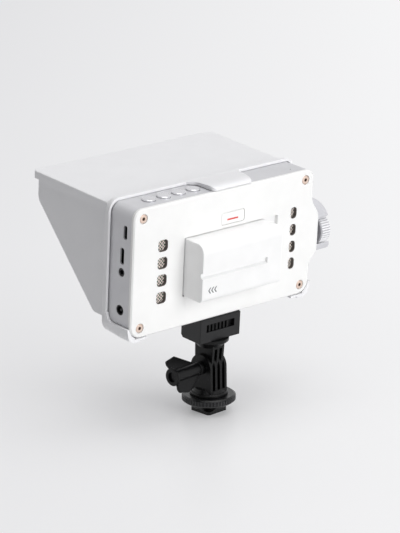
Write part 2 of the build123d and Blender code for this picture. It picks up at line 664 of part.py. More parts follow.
def hdmi_socket():
    return board_socket(HDMI_MOUTH, HDMI_Y, HDMI_Z)


def audio_jack():
    """A jack socket: a square body on the board and a round nose in the wall."""
    x_rear = INNER_SIDE - JACK_DEPTH
    half = JACK_BODY / 2
    body = block(x_rear, INNER_SIDE - SEAT_FIT, BOARD_REAR, JACK_Y + half, JACK_Z - half, JACK_Z + half)
    body += rod_x(JACK_NOSE - 2 * SEAT_FIT, INNER_SIDE - 1, HALF_WIDTH - NOSE_RECESS, JACK_Y, JACK_Z)
    return body - rod_x(JACK_BORE, x_rear + 1, HALF_WIDTH + 1, JACK_Y, JACK_Z)


def dc_jack():
    """A barrel power socket with its centre pin."""
    x_rear = INNER_SIDE - DC_DEPTH
    half = DC_BODY / 2
    body = block(x_rear, INNER_SIDE - SEAT_FIT, BOARD_REAR, DC_Y + half, DC_Z - half, DC_Z + half)
    body += rod_x(DC_NOSE - 2 * SEAT_FIT, INNER_SIDE - 2 * SEAT_FIT, HALF_WIDTH - NOSE_RECESS, DC_Y, DC_Z)
    body -= rod_x(DC_BORE, x_rear + 1, HALF_WIDTH + 1, DC_Y, DC_Z)
    return body + rod_x(DC_PIN, x_rear, HALF_WIDTH - 1.2, DC_Y, DC_Z)


def cover_screws():
    """Four socket-head screws in the corners of the cover."""
    screws = []
    for x, z in screw_places():
        head = rod_y(SCREW_HEAD, -SCREW_HEAD_HEIGHT, -SEAT_FIT, x, z)
        head = chamfer(edges_at_y(head, -SEAT_FIT), SCREW_EDGE)
        socket = Pos(x, z) * RegularPolygon(SCREW_SOCKET / 2, 6)
        head -= slab_y(socket, 0, -SEAT_FIT - SCREW_SOCKET_DEPTH)
        screws.append(head + rod_y(SCREW_SHANK, -SCREW_HEAD_HEIGHT, -SCREW_LENGTH, x, z))
    return Compound(screws)


def vent_mesh(x, width):
    """The woven mesh strip clamped behind one column of vents."""
    height = (VENT_COUNT - 1) * VENT_PITCH + VENT_HEIGHT + 2 * MESH_OVERLAP
    sheet = Pos(x, VENT_MIDDLE_Z) * Rectangle(width + 2 * MESH_OVERLAP, height)
    return slab_y(sheet, FRAME_REAR, FRAME_REAR - MESH_THICKNESS)


def tripod_insert():
    insert = rod_z(INSERT_DIAMETER, -HALF_HEIGHT, -HALF_HEIGHT + INSERT_LENGTH, 0, HINGE_DEPTH)
    bore = rod_z(TRIPOD_THREAD, -HALF_HEIGHT - 1, -HALF_HEIGHT + INSERT_LENGTH - 1, 0, HINGE_DEPTH)
    return insert - bore


# ---- menu buttons ----
def menu_button_places():
    """The x of each menu button, the first nearest to the sockets."""
    return [MENU_FIRST_X - i * MENU_PITCH for i in range(MENU_BUTTONS)]


def menu_button(x):
    cap = rod_z(MENU_DIAMETER, FLANGE_TOP, HALF_HEIGHT + MENU_RISE, x, MENU_Y)
    cap = chamfer(cap.edges().sort_by(Axis.Z)[-1], BUTTON_EDGE)
    return cap + rod_z(MENU_DIAMETER + 2 * FLANGE_REACH, FLANGE_BOTTOM, FLANGE_TOP, x, MENU_Y)


def button_board():
    """A strip of board with one key switch under each button."""
    places = menu_button_places()
    board_top = SWITCH_TOP - SWITCH_HEIGHT
    board = block(places[-1] - BUTTON_BOARD_MARGIN, places[0] + BUTTON_BOARD_MARGIN,
                  SPREADER_REAR + 2 * SEAT_FIT, MENU_Y + SWITCH_SIZE,
                  board_top - BUTTON_BOARD_THICKNESS, board_top)
    for x in places:
        board += block(x - SWITCH_SIZE / 2, x + SWITCH_SIZE / 2, MENU_Y - SWITCH_SIZE / 2,
                       MENU_Y + SWITCH_SIZE / 2, board_top, SWITCH_TOP)
    return board


# ---- dial ----
def dial_wheel():
    """The dial: a bevelled disc with ribs along its rim and a shallow dish in its outer face."""
    disc = rod_x(2 * (DIAL_RADIUS - DIAL_RIB_DEPTH), -DIAL_OUTER_X, -DIAL_INNER_X, DIAL_Y, DIAL_Z)
    disc = chamfer(disc.edges().sort_by(Axis.X)[0], DIAL_OUTER_BEVEL)
    disc = chamfer(disc.edges().sort_by(Axis.X)[-1], DIAL_INNER_BEVEL)
    ribs = Pos(DIAL_Y, DIAL_Z) * ribbed_outline(DIAL_RADIUS, DIAL_RIB_DEPTH, DIAL_RIBS)
    wheel = disc + slab_x(ribs, -DIAL_OUTER_X + DIAL_OUTER_BEVEL + RIB_SETBACK,
                          -DIAL_INNER_X - DIAL_INNER_BEVEL - RIB_SETBACK)
    wheel -= rod_x(DIAL_DISH, -DIAL_OUTER_X - 1, -DIAL_OUTER_X + DIAL_DISH_DEPTH, DIAL_Y, DIAL_Z)
    return wheel - rod_x(DIAL_SHAFT + 2 * SEAT_FIT, -DIAL_OUTER_X + DIAL_SHAFT_END,
                         -DIAL_INNER_X + 1, DIAL_Y, DIAL_Z)


def dial_shaft():
    inner_end = -INNER_SIDE + ENCODER_LENGTH - 2
    return rod_x(DIAL_SHAFT, -DIAL_OUTER_X + DIAL_SHAFT_END, inner_end, DIAL_Y, DIAL_Z)


def encoder_body():
    half = ENCODER_SIZE / 2
    body = block(-INNER_SIDE, -INNER_SIDE + ENCODER_LENGTH, DIAL_Y - half, DIAL_Y + half,
                 DIAL_Z - half, DIAL_Z + half)
    bore = DIAL_SHAFT + 2 * RUNNING_FIT
    return body - rod_x(bore, -INNER_SIDE - 1, -INNER_SIDE + ENCODER_LENGTH - 1.5, DIAL_Y, DIAL_Z)


# ---- battery ----
def battery_case():
    """The battery: rounded along its rear edges, with a guide groove from its left end."""
    keel_in, keel_up = BATTERY_KEEL
    outline = polygon((BATTERY_FRONT, BATTERY_BOTTOM + keel_up), (BATTERY_FRONT + keel_in, BATTERY_BOTTOM),
                      (BATTERY_REAR, BATTERY_BOTTOM), (BATTERY_REAR, BATTERY_TOP),
                      (BATTERY_FRONT, BATTERY_TOP))
    low_rear = [v for v in outline.vertices() if v.X > BATTERY_REAR - 0.1 and v.Y < 0]
    outline = fillet(low_rear, BATTERY_LOW_ROUND)
    top_rear = [v for v in outline.vertices() if v.X > BATTERY_REAR - 0.1 and v.Y > BATTERY_TOP - 0.1]
    outline = fillet(top_rear, BATTERY_TOP_ROUND)
    half = BATTERY_LENGTH / 2
    case = slab_x(outline, -half, half)
    rounded = [e for e in case.edges() if abs(abs(e.center().X) - half) < 1e-3
               and e.center().Y > BATTERY_FRONT + 0.5]
    case = fillet(rounded, BATTERY_END_ROUND)
    low = BATTERY_GROOVE_Z - BATTERY_GROOVE_HEIGHT / 2
    high = BATTERY_GROOVE_Z + BATTERY_GROOVE_HEIGHT / 2
    floor = BATTERY_REAR - BATTERY_GROOVE_DEPTH
    groove = polygon((floor, low + 0.8), (BATTERY_REAR + 1, low - 0.6), (BATTERY_REAR + 1, high + 0.6),
                     (floor, high - 0.4))
    return case - slab_x(groove, BATTERY_GROOVE_END, half + 1)


def battery_plate():
    """The plate behind the bay that closes the cover's opening and carries the contacts."""
    height = BATTERY_TOP - BATTERY_BOTTOM + 2 * (BAY_GAP + PLATE_MARGIN)
    length = BAY_FAR_END + BAY_NEAR_END + 2 * PLATE_MARGIN
    middle = Pos((BAY_NEAR_END - BAY_FAR_END) / 2, (BATTERY_TOP + BATTERY_BOTTOM) / 2)
    plate = slab_y(middle * RectangleRounded(length, height, 1.0), FRAME_REAR,
                   FRAME_REAR - PLATE_THICKNESS)
    for z in contact_places():
        plate -= contact(z, FRAME_REAR + 1, SEAT_FIT)
    return plate


def contact_places():
    """The heights of the three battery contacts."""
    middle = (BATTERY_TOP + BATTERY_BOTTOM) / 2
    return [middle - CONTACT_PITCH, middle, middle + CONTACT_PITCH]


def contact(z, rear, grow=0.0):
    """One contact strip, or with some growth the slot that it lies in."""
    x0, x1 = CONTACT_SPAN
    half = CONTACT_WIDTH / 2 + grow
    return block(x0 - grow, x1 + grow, FRAME_REAR - CONTACT_DEPTH, rear, z - half, z + half)


def battery_contacts():
    """Three plated strips let into the battery plate."""
    return Compound([contact(z, FRAME_REAR) for z in contact_places()])


def battery_release():
    """The release button, held in the cover by its flange."""
    button = slab_y(release_outline(), 0, FRAME_REAR - MOVING_GAP)
    button = chamfer(edges_at_y(button, 0), RELEASE_EDGE)
    flange_rear = FRAME_REAR - MOVING_GAP
    return button + slab_y(release_outline(FLANGE_REACH), flange_rear, flange_rear - RELEASE_FLANGE)


def release_spring():
    """The spring's outline: a tube from the board to just short of the pressed button."""
    rear = FRAME_REAR - MOVING_GAP - RELEASE_FLANGE - RELEASE_TRAVEL - MOVING_GAP
    tube = rod_y(RELEASE_SPRING, BOARD_REAR, rear, RELEASE_X, RELEASE_Z)
    return tube - rod_y(RELEASE_SPRING - 2 * SPRING_WIRE, BOARD_REAR - 1, rear + 1, RELEASE_X, RELEASE_Z)


# ---- sun hood ----
def hood_rim():
    """The frame that caps the front of the body."""
    outline = RectangleRounded(HOOD_RIM_WIDTH, HOOD_RIM_HEIGHT, HOOD_RIM_CORNER)
    rim = slab_y(outline, HOOD_RIM_REAR, HOOD_RIM_FRONT)
    rim = fillet(edges_at_y(rim, HOOD_RIM_FRONT), HOOD_RIM_ROUND)
    rim = fillet(edges_at_y(rim, HOOD_RIM_REAR), HOOD_EDGE_ROUND)
    pocket = body_outline(HOOD_SIDE_GAP, MOVING_GAP, MOVING_GAP)
    rim -= slab_y(pocket, HOOD_RIM_REAR + 1, -BODY_DEPTH - MOVING_GAP)
    window = RectangleRounded(HOOD_LIP_WIDTH, HOOD_LIP_HEIGHT, 3.0)
    return rim - slab_y(window, HOOD_RIM_REAR, HOOD_RIM_FRONT - 1)


def hood_tab():
    """The tongue that lies over the top of the body and stops at its rear edge."""
    under = HALF_HEIGHT + HOOD_SEAT_GAP
    rim_y = HOOD_RIM_REAR - 1
    plan = polygon((TAB_LEFT, TAB_REAR), (TAB_LEFT, HOOD_RIM_REAR + TAB_FLARE),
                   (TAB_LEFT + TAB_FLARE, HOOD_RIM_REAR), (TAB_LEFT + TAB_FLARE, rim_y),
                   (TAB_RIGHT_FRONT, rim_y), (TAB_RIGHT_NECK, HOOD_RIM_REAR + TAB_NECK_OUT),
                   (TAB_RIGHT_WAIST, HOOD_RIM_REAR + TAB_WAIST_OUT), (TAB_RIGHT_REAR, TAB_REAR))
    plan = fillet([v for v in plan.vertices() if v.Y > TAB_REAR - 0.1 and v.X > 0], TAB_LEFT_ROUND)
    plan = fillet([v for v in plan.vertices() if v.Y > TAB_REAR - 0.1 and v.X < 0], TAB_RIGHT_ROUND)
    waist = [v for v in plan.vertices() if HOOD_RIM_REAR + 1 < v.Y < TAB_REAR - TAB_LEFT_ROUND - 1]
    plan = fillet(waist, TAB_FLARE)
    tab = Pos(0, 0, under) * extrude(plan, TAB_TOP - under + 1)
    slope = Spline((TAB_REAR, under + TAB_EDGE), (TAB_SLOPE_START, TAB_TOP),
                   tangents=((-0.35, 0.9), (-1, 0)))
    rest = Polyline((TAB_SLOPE_START, TAB_TOP), (rim_y, TAB_TOP - TAB_FALL), (rim_y, under),
                    (TAB_REAR, under), (TAB_REAR, under + TAB_EDGE))
    side = make_face(Curve() + [slope, rest])
    return tab & slab_x(side, TAB_RIGHT_FRONT - 1, TAB_LEFT + TAB_FLARE + 1)


def hook_outline(outer_x, lean, bottom, corner):
    """The hook's section: down the body's side, round its corner and in along its bottom."""
    under = -HALF_HEIGHT - HOOD_SEAT_GAP
    inboard = HOOK_INBOARD - HOOK_FLARE
    inner_x = HALF_WIDTH - BOTTOM_CORNER / 2
    outline = polygon((outer_x, HOOK_TOP + HOOK_FLARE), (outer_x, HOOK_TOP), (outer_x - lean, bottom),
                      (inboard, bottom), (inboard, under), (inner_x, under),
                      (inner_x, HOOK_TOP + HOOK_FLARE))
    return fillet([v for v in outline.vertices() if v.X > inner_x + 1 and v.Y < bottom + 0.1], corner)


def hood_hook():
    """The hook that wraps the body's lower +X corner and ends at its rear edge."""
    rim_y = HOOD_RIM_REAR - 1
    blend_y = HOOK_REAR - HOOK_STRAIGHT
    rear_outline = hook_outline(HOOK_OUTER_X, HOOK_SIDE_LEAN, HOOK_BOTTOM, HOOK_CORNER)
    rim_outline = hook_outline(HOOD_RIM_WIDTH / 2, 0.01, -HOOD_RIM_HEIGHT / 2, HOOD_RIM_CORNER)
    hook = slab_y(rear_outline, HOOK_REAR, blend_y)
    hook += loft([Plane.XZ.offset(-blend_y) * rear_outline, Plane.XZ.offset(-rim_y) * rim_outline])
    hook -= slab_y(body_outline(HOOD_SEAT_GAP, HOOD_SEAT_GAP, HOOD_SEAT_GAP), HOOK_REAR + 1, rim_y - 1)
    rim_face = HOOD_RIM_REAR + HOOD_EDGE_ROUND
    side_cut = polygon((1, HOOK_TOP), (rim_face, HOOK_TOP), (rim_face, 0), (1, 0))
    side_cut = fillet([v for v in side_cut.vertices() if v.X < rim_face + 0.1 and v.Y < HOOK_TOP + 0.1],
                      HOOK_FLARE)
    hook -= slab_x(side_cut, 0, HOOD_RIM_WIDTH)
    plan_cut = polygon((HOOK_INBOARD, 1), (HOOK_INBOARD, rim_face), (0, rim_face), (0, 1))
    plan_cut = fillet([v for v in plan_cut.vertices() if v.X > HOOK_INBOARD - 0.1 and v.Y < rim_face + 0.1],
                      HOOK_FLARE - HOOD_EDGE_ROUND)
    return hook - Pos(0, 0, HOOK_BOTTOM - 1) * extrude(plan_cut, HALF_HEIGHT + HOOK_BOTTOM + 5)


def top_lug(x0, x1):
    """One lug on the rim that holds the top panel's pin."""
    lug = rod_x(HINGE_BARREL, x0, x1, HINGE_PIN_Y, TOP_PIN_Z)
    half = HINGE_BARREL / 2
    lug += block(x0, x1, HOOD_RIM_FRONT + 1, HINGE_PIN_Y, TOP_PIN_Z - half, TOP_PIN_Z + half / 2)
    return lug - rod_x(HINGE_PIN + 2 * RUNNING_FIT, x0 - 1, x1 + 1, HINGE_PIN_Y, TOP_PIN_Z)


def side_lug(z0, z1):
    """One lug on the rim that holds the +X flap's pin."""
    lug = rod_z(HINGE_BARREL, z0, z1, SIDE_PIN_X, HINGE_PIN_Y)
    half = HINGE_BARREL / 2
    lug += block(SIDE_PIN_X - half, SIDE_PIN_X + half, HINGE_PIN_Y, HOOD_RIM_FRONT + 1, z0, z1)
    return lug - rod_z(HINGE_PIN + 2 * RUNNING_FIT, z0 - 1, z1 + 1, SIDE_PIN_X, HINGE_PIN_Y)


def outside_knuckle(knuckle):
    """The two spans beside a knuckle where its lugs go."""
    low, high = knuckle
    return [(low - MOVING_GAP - LUG_LENGTH, low - MOVING_GAP),
            (high + MOVING_GAP, high + MOVING_GAP + LUG_LENGTH)]


def hood_frame():
    frame = hood_rim() + hood_tab()
    hook = hood_hook()
    frame += hook
    frame += mirror(hook, about=Plane.YZ)
    for x0, x1 in outside_knuckle(TOP_KNUCKLE):
        lug = top_lug(x0, x1)
        frame += lug
        frame += mirror(lug, about=Plane.YZ)
    for z0, z1 in outside_knuckle(SIDE_KNUCKLE):
        lug = side_lug(z0, z1)
        frame += lug
        frame += mirror(lug, about=Plane.YZ)
    return frame


def panel_plan(inset=0.0, front_inset=0.0):
    """The top panel seen from above, a little narrower at the front."""
    rear = PANEL_WIDTH_REAR / 2 - inset
    front = PANEL_WIDTH_FRONT / 2 - inset
    y_front = PANEL_FRONT + front_inset
    plan = polygon((-rear, PANEL_REAR), (-front, y_front), (front, y_front), (rear, PANEL_REAR))
    corners = [v for v in plan.vertices() if v.Y < y_front + 0.1]
    return fillet(corners, max(PANEL_CORNER - inset, 0.8))


def hood_top_panel():
    """The top panel: it rises a little forwards and has a skirt down each side."""
    tall = TAB_TOP + 5
    solid = Pos(0, 0, HOOK_TOP) * extrude(panel_plan(), tall - HOOK_TOP)
    band = polygon((PANEL_REAR, PANEL_REAR_Z), (PANEL_FRONT, PANEL_FRONT_Z),
                   (PANEL_FRONT, PANEL_FRONT_Z - SKIRT_DROP_FRONT),
                   (PANEL_REAR, PANEL_REAR_Z - SKIRT_DROP_REAR))
    band = fillet([v for v in band.vertices() if v.X > PANEL_REAR - 1 and v.Y > PANEL_REAR_Z - 0.1],
                  PANEL_REAR_ROUND)
    wide = HOOD_RIM_WIDTH
    panel = solid & slab_x(band, -wide, wide)
    panel = fillet(top_edges(panel), PANEL_EDGE_ROUND)
    hollow = Pos(0, 0, HOOK_TOP) * extrude(
        panel_plan(SKIRT_WALL, SKIRT_WALL), tall - HOOK_TOP)
    below = polygon((PANEL_REAR + 1, PANEL_REAR_Z - PANEL_WALL),
                    (PANEL_FRONT - 1, PANEL_FRONT_Z - PANEL_WALL),
                    (PANEL_FRONT - 1, HOOK_TOP), (PANEL_REAR + 1, HOOK_TOP))
    panel -= hollow & slab_x(below, -wide, wide)
    panel -= block(-FLAP_OUTER_X, FLAP_OUTER_X, PANEL_FRONT - 1, PANEL_FRONT + 10, HOOK_TOP,
                   PANEL_FRONT_Z - LIP_DROP)
    for side in (-1, 1):
        low, high = TOP_KNUCKLE
        barrel = rod_x(HINGE_BARREL, side * low, side * high, HINGE_PIN_Y, TOP_PIN_Z)
        web = block(side * low, side * high, HINGE_PIN_Y - HINGE_BARREL / 2, HINGE_PIN_Y,
                    TOP_PIN_Z, PANEL_REAR_Z - PANEL_WALL + 0.3)
        panel += barrel + web
        panel -= rod_x(HINGE_PIN + 2 * RUNNING_FIT, side * (low - 1), side * (high + 1), HINGE_PIN_Y,
                       TOP_PIN_Z)
    return panel


def top_edges(panel):
    """The panel's upper outline, apart from its rear edge."""
    slope = (PANEL_FRONT_Z - PANEL_REAR_Z) / (PANEL_REAR - PANEL_FRONT)
    found = []
    for edge in panel.edges():
        point = edge.center()
        surface = PANEL_REAR_Z + (PANEL_REAR - point.Y) * slope
        if abs(point.Z - surface) < 0.05 and point.Y < PANEL_REAR - 0.5:
            found.append(edge)
    return found


def hood_flap():
    """The +X side flap: cut away at 45 degrees below, hinged along its rear edge."""
    rear = HOOD_RIM_FRONT - MOVING_GAP
    outline = polygon((rear, FLAP_TOP_REAR), (FLAP_FRONT, FLAP_TOP_FRONT), (FLAP_FRONT, FLAP_FRONT_BOTTOM),
                      (FLAP_BOTTOM_FRONT, FLAP_BOTTOM), (rear, FLAP_BOTTOM))
    knee = [v for v in outline.vertices() if v.X < FLAP_FRONT + 0.1 and v.Y < FLAP_TOP_REAR - 1]
    outline = fillet(knee, FLAP_FRONT_ROUND)
    heel = [v for v in outline.vertices() if abs(v.X - FLAP_BOTTOM_FRONT) < 0.1]
    outline = fillet(heel, FLAP_BOTTOM_ROUND)
    flap = slab_x(outline, FLAP_OUTER_X - FLAP_WALL, FLAP_OUTER_X)
    rear_corner = [e for e in flap.edges().filter_by(Axis.Z)
                   if e.center().X > FLAP_OUTER_X - 0.1 and e.center().Y > rear - 0.1]
    flap = fillet(rear_corner, 0.9)
    low, high = SIDE_KNUCKLE
    flap += rod_z(HINGE_BARREL, low, high, SIDE_PIN_X, HINGE_PIN_Y)
    flap += block(SIDE_PIN_X, FLAP_OUTER_X - FLAP_WALL + 0.3, HINGE_PIN_Y - HINGE_BARREL / 2,
                  HINGE_PIN_Y, low, high)
    return flap - rod_z(HINGE_PIN + 2 * RUNNING_FIT, low - 1, high + 1, SIDE_PIN_X, HINGE_PIN_Y)


def hood_top_pins():
    low, high = TOP_KNUCKLE
    reach = LUG_LENGTH + MOVING_GAP
    pin = rod_x(HINGE_PIN, low - reach, high + reach, HINGE_PIN_Y, TOP_PIN_Z)
    return mirrored_pair(pin)


def hood_side_pin():
    low, high = SIDE_KNUCKLE
    reach = LUG_LENGTH + MOVING_GAP
    return rod_z(HINGE_PIN, low - reach, high + reach, SIDE_PIN_X, HINGE_PIN_Y)


# ---- swivel block and its slider ----
def head_pad():
    pad = Pos(0, (BLOCK_FRONT + BLOCK_REAR) / 2) * RectangleRounded(
        BLOCK_WIDTH - 1, BLOCK_REAR - BLOCK_FRONT - 1, 1.0)
    pad = Pos(0, 0, BLOCK_TOP) * extrude(pad, -HALF_HEIGHT - BLOCK_TOP)
    return pad - rod_z(TRIPOD_THREAD + 2 * SEAT_FIT, BLOCK_TOP - 1, BLOCK_TOP + 3, 0, HINGE_DEPTH)


def head_block():
    """The block that carries the monitor, with a window in its rear face for the slider."""
    half = BLOCK_WIDTH / 2
    body = block(-half, half, BLOCK_FRONT, BLOCK_REAR, BLOCK_BOTTOM, BLOCK_TOP)
    front_edge = [e for e in body.edges() if e.center().Y < BLOCK_FRONT + 0.1
                  and e.center().Z < BLOCK_BOTTOM + 0.1]
    body = chamfer(front_edge, BLOCK_CHAMFER)
    upright = [e for e in body.edges().filter_by(Axis.Z)]
    body = fillet(upright, BLOCK_EDGE)
    body -= block(-WINDOW_WIDTH / 2, WINDOW_WIDTH / 2, BLOCK_REAR - WINDOW_DEPTH, BLOCK_REAR + 1,
                  WINDOW_MIDDLE_Z - WINDOW_HEIGHT / 2, WINDOW_MIDDLE_Z + WINDOW_HEIGHT / 2)
    body -= rod_z(STUD_PLUG + 2 * SEAT_FIT, SWIVEL_HEAD_Z, BLOCK_TOP + 1, 0, HINGE_DEPTH)
    body -= rod_z(SWIVEL_SCREW + 2 * SEAT_FIT, BLOCK_BOTTOM - 1, SWIVEL_HEAD_Z + 1, 0, HINGE_DEPTH)
    return body


def head_stud():
    """The stud that screws up into the monitor, on its plug in the block."""
    plug_bottom = SWIVEL_HEAD_Z + 3.6
    plug = rod_z(STUD_PLUG, plug_bottom, BLOCK_TOP - 0.1, 0, HINGE_DEPTH)
    thread = TRIPOD_THREAD - 2 * RUNNING_FIT
    return plug + rod_z(thread, BLOCK_TOP - 0.2, -HALF_HEIGHT + INSERT_LENGTH - 1.6, 0, HINGE_DEPTH)


def release_slider():
    """The ribbed slider in the block's window, at the window's +X end."""
    left = WINDOW_WIDTH / 2 - MOVING_GAP
    low = WINDOW_MIDDLE_Z - WINDOW_HEIGHT / 2 + MOVING_GAP
    high = WINDOW_MIDDLE_Z + WINDOW_HEIGHT / 2 - MOVING_GAP
    floor = BLOCK_REAR - WINDOW_DEPTH + MOVING_GAP
    slider = block(left - SLIDER_WIDTH, left, floor, BLOCK_REAR - SLIDER_FLOOR_DEPTH, low, high)
    for i in range(SLIDER_RIBS):
        x = left - SLIDER_RIB_START - i * SLIDER_RIB_PITCH
        slider += block(x - SLIDER_RIB_WIDTH / 2, x + SLIDER_RIB_WIDTH / 2, floor,
                        BLOCK_REAR - SLIDER_RIB_DEPTH, low, high)
    return slider


def upper_fork():
    """The three-pronged fork under the swivel, drawn in the head's frame."""
    hinge_z = -HINGE_DROP
    disc_top = BLOCK_BOTTOM - MOVING_GAP
    disc_bottom = disc_top - SWIVEL_DISC_THICKNESS
    shoulder_z = hinge_z + UPPER_SLOT_TOP
    disc = rod_z(SWIVEL_DISC, disc_bottom, disc_top, 0, HINGE_DEPTH)
    disc = chamfer(disc.edges().sort_by(Axis.Z)[0], DISC_EDGE)
    width = (UPPER_PRONGS - 1) * PRONG_PITCH + UPPER_PRONG
    knuckle = Pos(HINGE_DEPTH, hinge_z) * Circle(UPPER_KNUCKLE)
    arm = polygon((HINGE_DEPTH - UPPER_KNUCKLE, hinge_z), (HINGE_DEPTH + UPPER_KNUCKLE, hinge_z),
                  (HINGE_DEPTH + UPPER_SHOULDER, shoulder_z),
                  (HINGE_DEPTH + UPPER_SHOULDER, disc_bottom + 0.5),
                  (HINGE_DEPTH - UPPER_SHOULDER, disc_bottom + 0.5),
                  (HINGE_DEPTH - UPPER_SHOULDER, shoulder_z))
    column = slab_x(arm + knuckle, -width / 2, width / 2)
    neck = Pos(0, HINGE_DEPTH, (shoulder_z + disc_bottom) / 2 + 0.4) * Cone(
        UPPER_SHOULDER, SWIVEL_DISC / 2 - 1.5, disc_bottom - shoulder_z - 0.4)
    fork = disc + column + neck
    gap = PRONG_PITCH - UPPER_PRONG
    for i in range(UPPER_PRONGS - 1):
        x = (i - (UPPER_PRONGS - 2) / 2) * PRONG_PITCH
        fork -= block(x - gap / 2, x + gap / 2, HINGE_DEPTH - 20, HINGE_DEPTH + 20,
                      hinge_z - 20, shoulder_z)
    fork -= rod_x(BOLT_DIAMETER + 2 * RUNNING_FIT, -10, 10, HINGE_DEPTH, hinge_z)
    return fork - rod_z(SWIVEL_SCREW + 2 * SEAT_FIT, shoulder_z + 1.5, disc_top + 1, 0, HINGE_DEPTH)


def swivel_screw():
    """The shouldered screw that the block turns on."""
    shank = rod_z(SWIVEL_SCREW, -HINGE_DROP + UPPER_SLOT_TOP + 1.6, SWIVEL_HEAD_Z + MOVING_GAP, 0,
                  HINGE_DEPTH)
    head = rod_z(SWIVEL_SCREW_HEAD, SWIVEL_HEAD_Z + MOVING_GAP, SWIVEL_HEAD_Z + MOVING_GAP + 2.6, 0,
                 HINGE_DEPTH)
    return shank + head


# ---- tilt hinge below, drawn where it stands ----
def lower_fork():
    """The four-pronged fork on its round base."""
    disc_bottom = WHEEL_TOP + MOVING_GAP
    disc_top = disc_bottom + BASE_DISC_THICKNESS
    slot_z = HINGE_HEIGHT + LOWER_SLOT_BOTTOM
    disc = rod_z(BASE_DISC, disc_bottom, disc_top, 0, 0)
    disc = chamfer(disc.edges().sort_by(Axis.Z)[-1], DISC_EDGE)
    boss = Pos(0, 0, (disc_top + slot_z) / 2) * Cone(BASE_DISC / 2 - 1.5, LOWER_KNUCKLE + 0.3,
                                                    slot_z - disc_top)
    width = (LOWER_PRONGS - 1) * PRONG_PITCH + LOWER_PRONG
    foot_half = LOWER_KNUCKLE + 0.3
    arm = polygon((-foot_half, disc_top - 0.5), (foot_half, disc_top - 0.5), (LOWER_KNUCKLE, HINGE_HEIGHT),
                  (-LOWER_KNUCKLE, HINGE_HEIGHT))
    knuckle = Pos(0, HINGE_HEIGHT) * Circle(LOWER_KNUCKLE)
    fork = disc + boss + slab_x(arm + knuckle, -width / 2, width / 2)
    gap = PRONG_PITCH - LOWER_PRONG
    for i in range(LOWER_PRONGS - 1):
        x = (i - (LOWER_PRONGS - 2) / 2) * PRONG_PITCH
        fork -= block(x - gap / 2, x + gap / 2, -20, 20, slot_z, HINGE_HEIGHT + 20)
    fork -= rod_x(BOLT_DIAMETER + 2 * RUNNING_FIT, -20, 20, 0, HINGE_HEIGHT)
    return fork - rod_z(STUD_DIAMETER + 2 * SEAT_FIT, 0, STUD_TOP + 0.2, 0, 0)


def hinge_nut():
    """The hexagonal nut against the fork's far side."""
    face = -FORK_SIDE
    outline = Pos(0, HINGE_HEIGHT) * RegularPolygon(NUT_FLATS / 2, 6, major_radius=False)
    nut = slab_x(outline, face - NUT_THICKNESS, face)
    return nut - rod_x(BOLT_DIAMETER + 2 * RUNNING_FIT, face - 6, face + 1, 0, HINGE_HEIGHT)


def hinge_bolt():
    """The bolt that the wing knob turns, through both forks and the nut."""
    return rod_x(BOLT_DIAMETER, -FORK_SIDE - NUT_THICKNESS - 0.4, KNOB_START + 12, 0, HINGE_HEIGHT)


def wing_knob():
    """The wing knob: a grooved collar, a hub that widens outwards, an end ring and two blades."""
    face = FORK_SIDE + MOVING_GAP
    knob = rod_x(2 * KNOB_COLLAR, face, KNOB_START - KNOB_GROOVE, 0, HINGE_HEIGHT)
    knob = chamfer(knob.edges(), BLADE_EDGE)
    knob += rod_x(BOLT_DIAMETER + 2 * KNOB_GROOVE, face, KNOB_START, 0, HINGE_HEIGHT)
    knob += Pos((KNOB_START + KNOB_END) / 2, 0, HINGE_HEIGHT) * Rot(0, 90, 0) * Cone(
        KNOB_HUB_START, KNOB_HUB_END, KNOB_END - KNOB_START)
    ring = rod_x(2 * KNOB_RING, KNOB_END - KNOB_RING_LENGTH, KNOB_END, 0, HINGE_HEIGHT)
    knob += chamfer(ring.edges(), BLADE_EDGE)
    knob += knob_blades()
    knob -= rod_x(KNOB_SOCKET, KNOB_END - KNOB_SOCKET_DEPTH, KNOB_END + 1, 0, HINGE_HEIGHT)
    return knob - rod_x(BOLT_DIAMETER + 2 * SEAT_FIT, face - 1, KNOB_START + 12.5, 0, HINGE_HEIGHT)


def knob_blades():
    """Two thin blades in one plane through the knob's axis."""
    outline = polygon((KNOB_START, KNOB_COLLAR), (KNOB_END - BLADE_TIP_LENGTH, BLADE_TIP),
                      (KNOB_END - 0.8, BLADE_END), (KNOB_END - 0.2, BLADE_END - 2.6),
                      (KNOB_END - KNOB_SOCKET_DEPTH, KNOB_HUB_END), (KNOB_END - KNOB_SOCKET_DEPTH, 0),
                      (KNOB_START, 0))
    tips = [v for v in outline.vertices() if v.Y > BLADE_END - 0.1]
    outline = fillet(tips, 1.4)
    blade = extrude(Plane.XZ.offset(-BLADE_THICKNESS / 2) * outline, BLADE_THICKNESS)
    rim = [e for e in blade.edges() if abs(e.tangent_at(0.5).Y) < 0.1 and e.center().Z > KNOB_COLLAR]
    blade = chamfer(rim, BLADE_EDGE)
    pair = blade + Rot(180, 0, 0) * blade
    return Pos(0, 0, HINGE_HEIGHT) * Rot(BLADE_LEAN, 0, 0) * pair


# ---- shoe mount ----
def shoe_foot():
    """The square foot that slides into an accessory shoe, with its threaded stud."""
    plate = Pos(0, 0, 0) * extrude(Rectangle(FOOT_WIDTH, FOOT_WIDTH), FOOT_THICKNESS)
    plate = chamfer(plate.edges().filter_by(Axis.Z), FOOT_CHAMFER)
    plate += rod_z(STUD_COLLAR, FOOT_THICKNESS, FOOT_THICKNESS + 0.7, 0, 0)
    return plate + rod_z(STUD_DIAMETER, FOOT_THICKNESS - 0.5, STUD_TOP, 0, 0)


